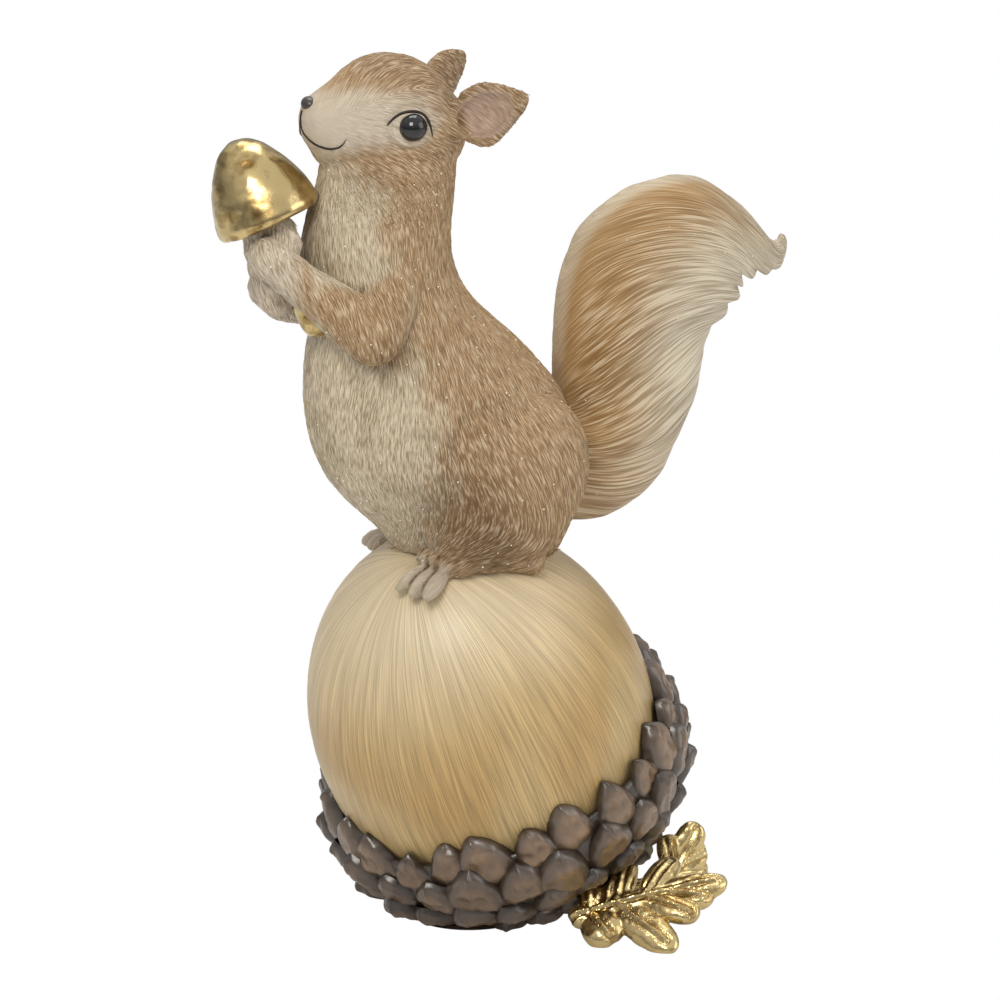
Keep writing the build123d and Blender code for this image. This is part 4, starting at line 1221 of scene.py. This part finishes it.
front_leaf = oak_leaf("front_leaf_gilt", (20.7, -31.4, 7.0), (0.914, -0.332, 0.229), (0.366, 0.674, 0.64),
                      FRONT_LOBES, 5.6, 81)
rear_leaf = oak_leaf("rear_leaf_gilt", (46.0, -18.0, 10.0), (0.62, 0.1, 0.77), (-0.74, -0.08, 0.60),
                     REAR_LOBES, 4.6, 85)
stalk = oak_leaf("leaf_stalk_gilt", (18.0, -15.0, 5.0), (0.979, -0.105, 0.175), (-0.12, -0.99, 0.07),
                 STALK_LOBES, 3.5, 89)
print("leaves", len(front_leaf.data.polygons) + len(rear_leaf.data.polygons), "faces")

# %% [markdown]
# ## Eyes, nose and drawn lines
# The eyes are glossy beads set in the lids. The lash and the mouth are drawn with a loaded brush,
# so each is a thin raised line that swells and tapers: a tube whose radius follows a sine. The mouth
# is laid on the nearest skin; the lash is laid from the front, over skin and eye alike.

# %% Face details
LINE_STEPS, LINE_SIDES = 40, 8
FACE_TREE = BVHTree.FromPolygons([Vector(point) for point in points_of(face)], triangles_of(face).tolist())


def laid_near(path, lift):
    """A smooth path moved onto the nearest skin."""
    laid = []
    for point in through(np.array(path, dtype=float), np.linspace(0, len(path) - 1, LINE_STEPS)):
        where, normal, _, _ = FACE_TREE.find_nearest(Vector(point))
        laid.append(np.array(where + normal * lift))
    return np.array(laid)


def laid_over_eye(offsets, lift):
    """A path seen from the front, laid over skin and eye alike; offsets are right and up of the eye."""
    laid = []
    for right, up in through(np.array(offsets, dtype=float), np.linspace(0, len(offsets) - 1, LINE_STEPS)):
        flat = EYE_LOOK + right * VIEW_RIGHT + up * VIEW_UP
        where = FACE_TREE.ray_cast(Vector(flat + 30 * VIEW_BACK), Vector(-VIEW_BACK))[0]
        depth = (np.array(where) - flat) @ VIEW_BACK
        depth = max(depth, math.sqrt(max(EYE_RADIUS ** 2 - right ** 2 - up ** 2, 0.0)))
        laid.append(flat + (depth + lift) * VIEW_BACK)
    return np.array(laid)


def tube(name, laid, radius, material):
    """A tapered line of paint along a path."""
    ways = unit(np.gradient(laid, axis=0))
    side = unit(np.cross(ways, (0.31, 0.42, 0.85)))
    up = np.cross(side, ways)
    turn = np.linspace(0, 2 * np.pi, LINE_SIDES, endpoint=False)
    swell = radius * (0.12 + 0.88 * np.sin(np.pi * np.linspace(0.04, 0.98, LINE_STEPS)) ** 0.7)
    rings = laid[:, None] + swell[:, None, None] * (
        np.cos(turn)[None, :, None] * side[:, None] + np.sin(turn)[None, :, None] * up[:, None])
    made = mesh_object(name, rings.reshape(-1, 3), grid_faces(LINE_STEPS, LINE_SIDES, True))
    made.data.materials.append(material)
    return made


def other_side(path):
    """A place or path mirrored to the far side."""
    return np.array(path) * MIRROR + MIRROR_SHIFT


def bead(name, centre, radii, material, rings=28):
    """A rounded bead with its own radius each way."""
    points, faces = ball((0.0, 0.0, 0.0), 1.0, rings)
    made = mesh_object(name, points * np.array(radii) + np.array(centre), faces)
    made.data.materials.append(material)
    return made


LASH = [(-6.4, 0.4), (-4.9, 2.1), (-2.9, 3.4), (-0.3, 3.95), (2.1, 3.5), (3.7, 1.9), (4.5, -0.2), (4.9, -2.3)]
left_eye = bead("left_eye_bead", EYE_LOOK, (EYE_RADIUS,) * 3, EYE)
right_eye = bead("right_eye_bead", other_side(EYE_LOOK), (EYE_RADIUS,) * 3, EYE)
nose = bead("nose", (-42.6, MIDDLE_Y, 213.9), (2.0, 2.6, 2.0), NOSE)
lash, mouth = laid_over_eye(LASH, 0.2), laid_near(MOUTH, 0.05)
lines = []
for kind, path, radius in (("lash", lash, 0.42), ("mouth", mouth, 0.3)):
    lines += [tube("left_" + kind, path, radius, LINE), tube("right_" + kind, other_side(path), radius, LINE)]
print("eyes at", EYE_MIDDLE.round(1))

# %% [markdown]
# ## Hair strokes by Geometry Nodes
# Over the combed skin lie single strokes, as a tool leaves them in soft clay. The group scatters
# points on the skin, turns a tapered stroke along the flow that the skin carries, and realises the
# copies. Each copy keeps the paint of the place where it stands.

# %% Hair strokes and glitter
def stroke_mould(length, width, height):
    """A tapered ridge along +X, its foot a little below the surface."""
    places = np.array([0.0, 0.2, 0.55, 1.0])
    widths = np.array([0.25, 1.0, 0.8, 0.08]) * width / 2
    heights = np.array([-0.3, 0.8, 1.0, 0.1]) * height
    rings = []
    for place, wide, high in zip(places, widths, heights):
        rings.append([(length * (place - 0.5), -wide, -0.12), (length * (place - 0.5), 0.0, high),
                      (length * (place - 0.5), wide, -0.12)])
    return mesh_object("stroke_mould", np.array(rings).reshape(-1, 3), grid_faces(4, 3, False)[:, ::-1])


def stroke_group():
    """Scatters strokes over a skin along its flow."""
    tree, given = node_group("strokes along the flow", [
        ("Stroke object", "Object", None), ("Strokes per square metre", "Float", 1000.0),
        ("Smallest", "Float", 0.6), ("Largest", "Float", 1.3), ("Material", "Material", None)])
    density = maths(tree, "MULTIPLY", named(tree, "hair", "FLOAT"), given["Strokes per square metre"])
    spread = add(tree, "GeometryNodeDistributePointsOnFaces", Mesh=given["Geometry"], Density=density, Seed=3)
    along = add(tree, "FunctionNodeAlignRotationToVector", {"axis": "X"},
                Vector=named(tree, "flow", "FLOAT_VECTOR"))
    upright = add(tree, "FunctionNodeAlignRotationToVector", {"axis": "Z", "pivot_axis": "X"},
                  Rotation=along.outputs["Rotation"], Vector=spread.outputs["Normal"])
    shape = add(tree, "GeometryNodeObjectInfo", Object=given["Stroke object"])
    chance = add(tree, "FunctionNodeRandomValue", Min=given["Smallest"], Max=given["Largest"], Seed=4)
    placed = add(tree, "GeometryNodeInstanceOnPoints", Points=spread.outputs["Points"],
                 Instance=shape.outputs["Geometry"], Rotation=upright.outputs["Rotation"],
                 Scale=chance.outputs["Value"])
    close_group(tree, placed.outputs["Instances"], given["Material"])
    return tree


def scatter(name, skin_object, mould, density, low, high, material, tree):
    """Runs the stroke group over a copy of a skin."""
    made = bpy.data.objects.new(name, skin_object.data.copy())
    bpy.context.scene.collection.objects.link(made)
    return run_group(made, tree, {"Stroke object": mould, "Strokes per square metre": density,
                                  "Smallest": low, "Largest": high, "Material": material})


STROKE_POINTS = 12
strokes_tree = stroke_group()
mould = stroke_mould(3.2, 0.26, 0.16)
coat_strokes = scatter("coat_strokes", coat, mould, 4.8e5, 0.6, 1.3, STROKE, strokes_tree)
face_strokes = scatter("face_strokes", face, mould, 6e5, 0.4, 0.8, STROKE, strokes_tree)
drop(mould)
fleck = bead("fleck_mould", (0, 0, 0.1), (0.24, 0.24, 0.16), SPECK, 4)
coat_glitter = scatter("coat_glitter", coat, fleck, 1.9e4, 0.4, 1.2, SPECK, strokes_tree)
tail_glitter = scatter("tail_glitter", tail, fleck, 0.9e4, 0.4, 1.1, SPECK, strokes_tree)
drop(fleck)
for made in (coat_strokes, face_strokes):
    number = np.arange(len(made.data.vertices)) // STROKE_POINTS
    chance = lattice_value(np.c_[number, np.full((len(number), 2), (3, 5))], 9)
    paint = np.clip(colours_of(made, "paint") * (0.68 + 0.75 * chance)[:, None], 0, 1)
    paint = np.c_[paint, np.ones(len(paint))].astype(np.float32)
    made.data.attributes["paint"].data.foreach_set("color", paint.ravel())
print("strokes", len(coat_strokes.data.polygons) + len(face_strokes.data.polygons), "faces")

# %% [markdown]
# ## Joining the pieces to the frame
# Every piece rides on the root body, and the CAD nodes it stands for are hidden. A finish name is also listed
# for each piece, but nothing reads it.

# %% Pieces and nodes
PIECES = [
    # piece, nodes it stands for, finish
    (coat, ["squirrel_body", "left_arm", "right_arm", "left_foot", "right_foot"], "fur_paint"),
    (face, ["squirrel_head", "left_ear", "right_ear"], "fur_paint"),
    (tail, ["tail"], "tail_paint"),
    (nut, ["acorn_nut"], "nut_paint"),
    (bowl, ["acorn_cup"], "cup_paint"),
    (scales, [], "cup_paint"),
    (cap, ["mushroom_cap"], "gold_leaf"),
    (stem, ["mushroom_stem"], "gold_leaf"),
    (front_leaf, ["front_leaf"], "gold_leaf"),
    (rear_leaf, ["rear_leaf"], "gold_leaf"),
    (stalk, ["leaf_stalk"], "gold_leaf"),
    (left_eye, ["left_eye"], "eye_gloss"),
    (right_eye, ["right_eye"], "eye_gloss"),
    (nose, [], "eye_gloss"),
    (coat_strokes, [], "fur_paint"),
    (face_strokes, [], "fur_paint"),
    (coat_glitter, [], "fur_paint"),
    (tail_glitter, [], "tail_paint"),
]
PIECES += [(line, [], "eye_gloss") for line in lines]
for piece, stands_for, finish in PIECES:
    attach(piece, "root")
    if stands_for:
        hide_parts(*stands_for)
nodes["base_felt"].data.materials.clear()
nodes["base_felt"].data.materials.append(FELT)
print(len(PIECES), "pieces")

# %% [markdown]
# ## Camera, light and floor
# A long lens from the front and a little above, as in a catalogue. The floor and the surroundings
# are white to the camera only; what lights the figurine is a soft grey room with a large lamp.

# %% Camera, light and floor
LENS, SENSOR = 1500.0, 36.0
SEEN_WIDTH = 0.25
target = Vector((8.19, 0.0, 107.1)) * MM
back = Vector((-0.3304, -0.9076, 0.2588))
camera = bpy.data.objects.new("camera", bpy.data.cameras.new("camera"))
camera.data.lens = LENS
camera.data.sensor_width = SENSOR
camera.data.clip_end = 20.0
camera.location = target + back * (SEEN_WIDTH * LENS / SENSOR)
camera.rotation_euler = back.to_track_quat("Z", "Y").to_euler()
bpy.context.scene.collection.objects.link(camera)
bpy.context.scene.camera = camera


def lamp(name, place, size, power, colour="#ffffff"):
    """A square lamp that looks at the middle of the figurine."""
    data = bpy.data.lights.new(name, "AREA")
    data.size = size
    data.energy = power
    data.color = linear(colour)
    made = bpy.data.objects.new(name, data)
    made.location = place
    made.rotation_euler = (Vector(place) - Vector((0, 0, 0.11))).to_track_quat("Z", "Y").to_euler()
    bpy.context.scene.collection.objects.link(made)
    return made


lamps = [lamp("key", (-0.55, -0.75, 0.95), 0.5, 7.2, "#fffaf2"), lamp("fill", (0.8, -0.6, 0.5), 0.7, 2.6),
         lamp("top", (0.1, 0.35, 1.0), 0.6, 4.0)]
world = bpy.data.worlds.new("white studio")
bpy.context.scene.world = world
world.use_nodes = True
tree = world.node_tree
path = add(tree, "ShaderNodeLightPath").outputs
way = add(tree, "ShaderNodeSeparateXYZ", Vector=add(tree, "ShaderNodeTexCoord").outputs["Generated"])
sky = spanned(tree, way.outputs["Z"], 0.0, 0.7, 0.24, 0.78)
glossy = add(tree, "ShaderNodeMix", Factor=path["Is Glossy Ray"], A=0.5, B=sky)
level = add(tree, "ShaderNodeMix", Factor=path["Is Camera Ray"], A=glossy.outputs["Result"], B=1.0)
plug(tree, tree.nodes["Background"], {"Strength": level.outputs["Result"], "Color": (1, 1, 1, 1)})

FLOOR_REACH = 2000.0
floor_corners = np.array([(-1, -1, 0), (1, -1, 0), (1, 1, 0), (-1, 1, 0)])
floor = mesh_object("floor", FLOOR_REACH * floor_corners, [(0, 1, 2, 3)])
white, tree, shader = new_material("white studio floor")
path = add(tree, "ShaderNodeLightPath").outputs
glow = add(tree, "ShaderNodeEmission", Strength=1.0)
chosen = add(tree, "ShaderNodeMixShader", Fac=path["Is Camera Ray"], i1=shader.outputs["BSDF"],
             i2=glow.outputs["Emission"])
plug(tree, shader, {"Base Color": (0.8, 0.8, 0.8, 1)})
plug(tree, tree.nodes["Material Output"], {"Surface": chosen.outputs["Shader"]})
floor.data.materials.append(white)
bpy.context.scene.view_settings.view_transform = "Standard"
print("camera at", [round(value, 3) for value in camera.location])
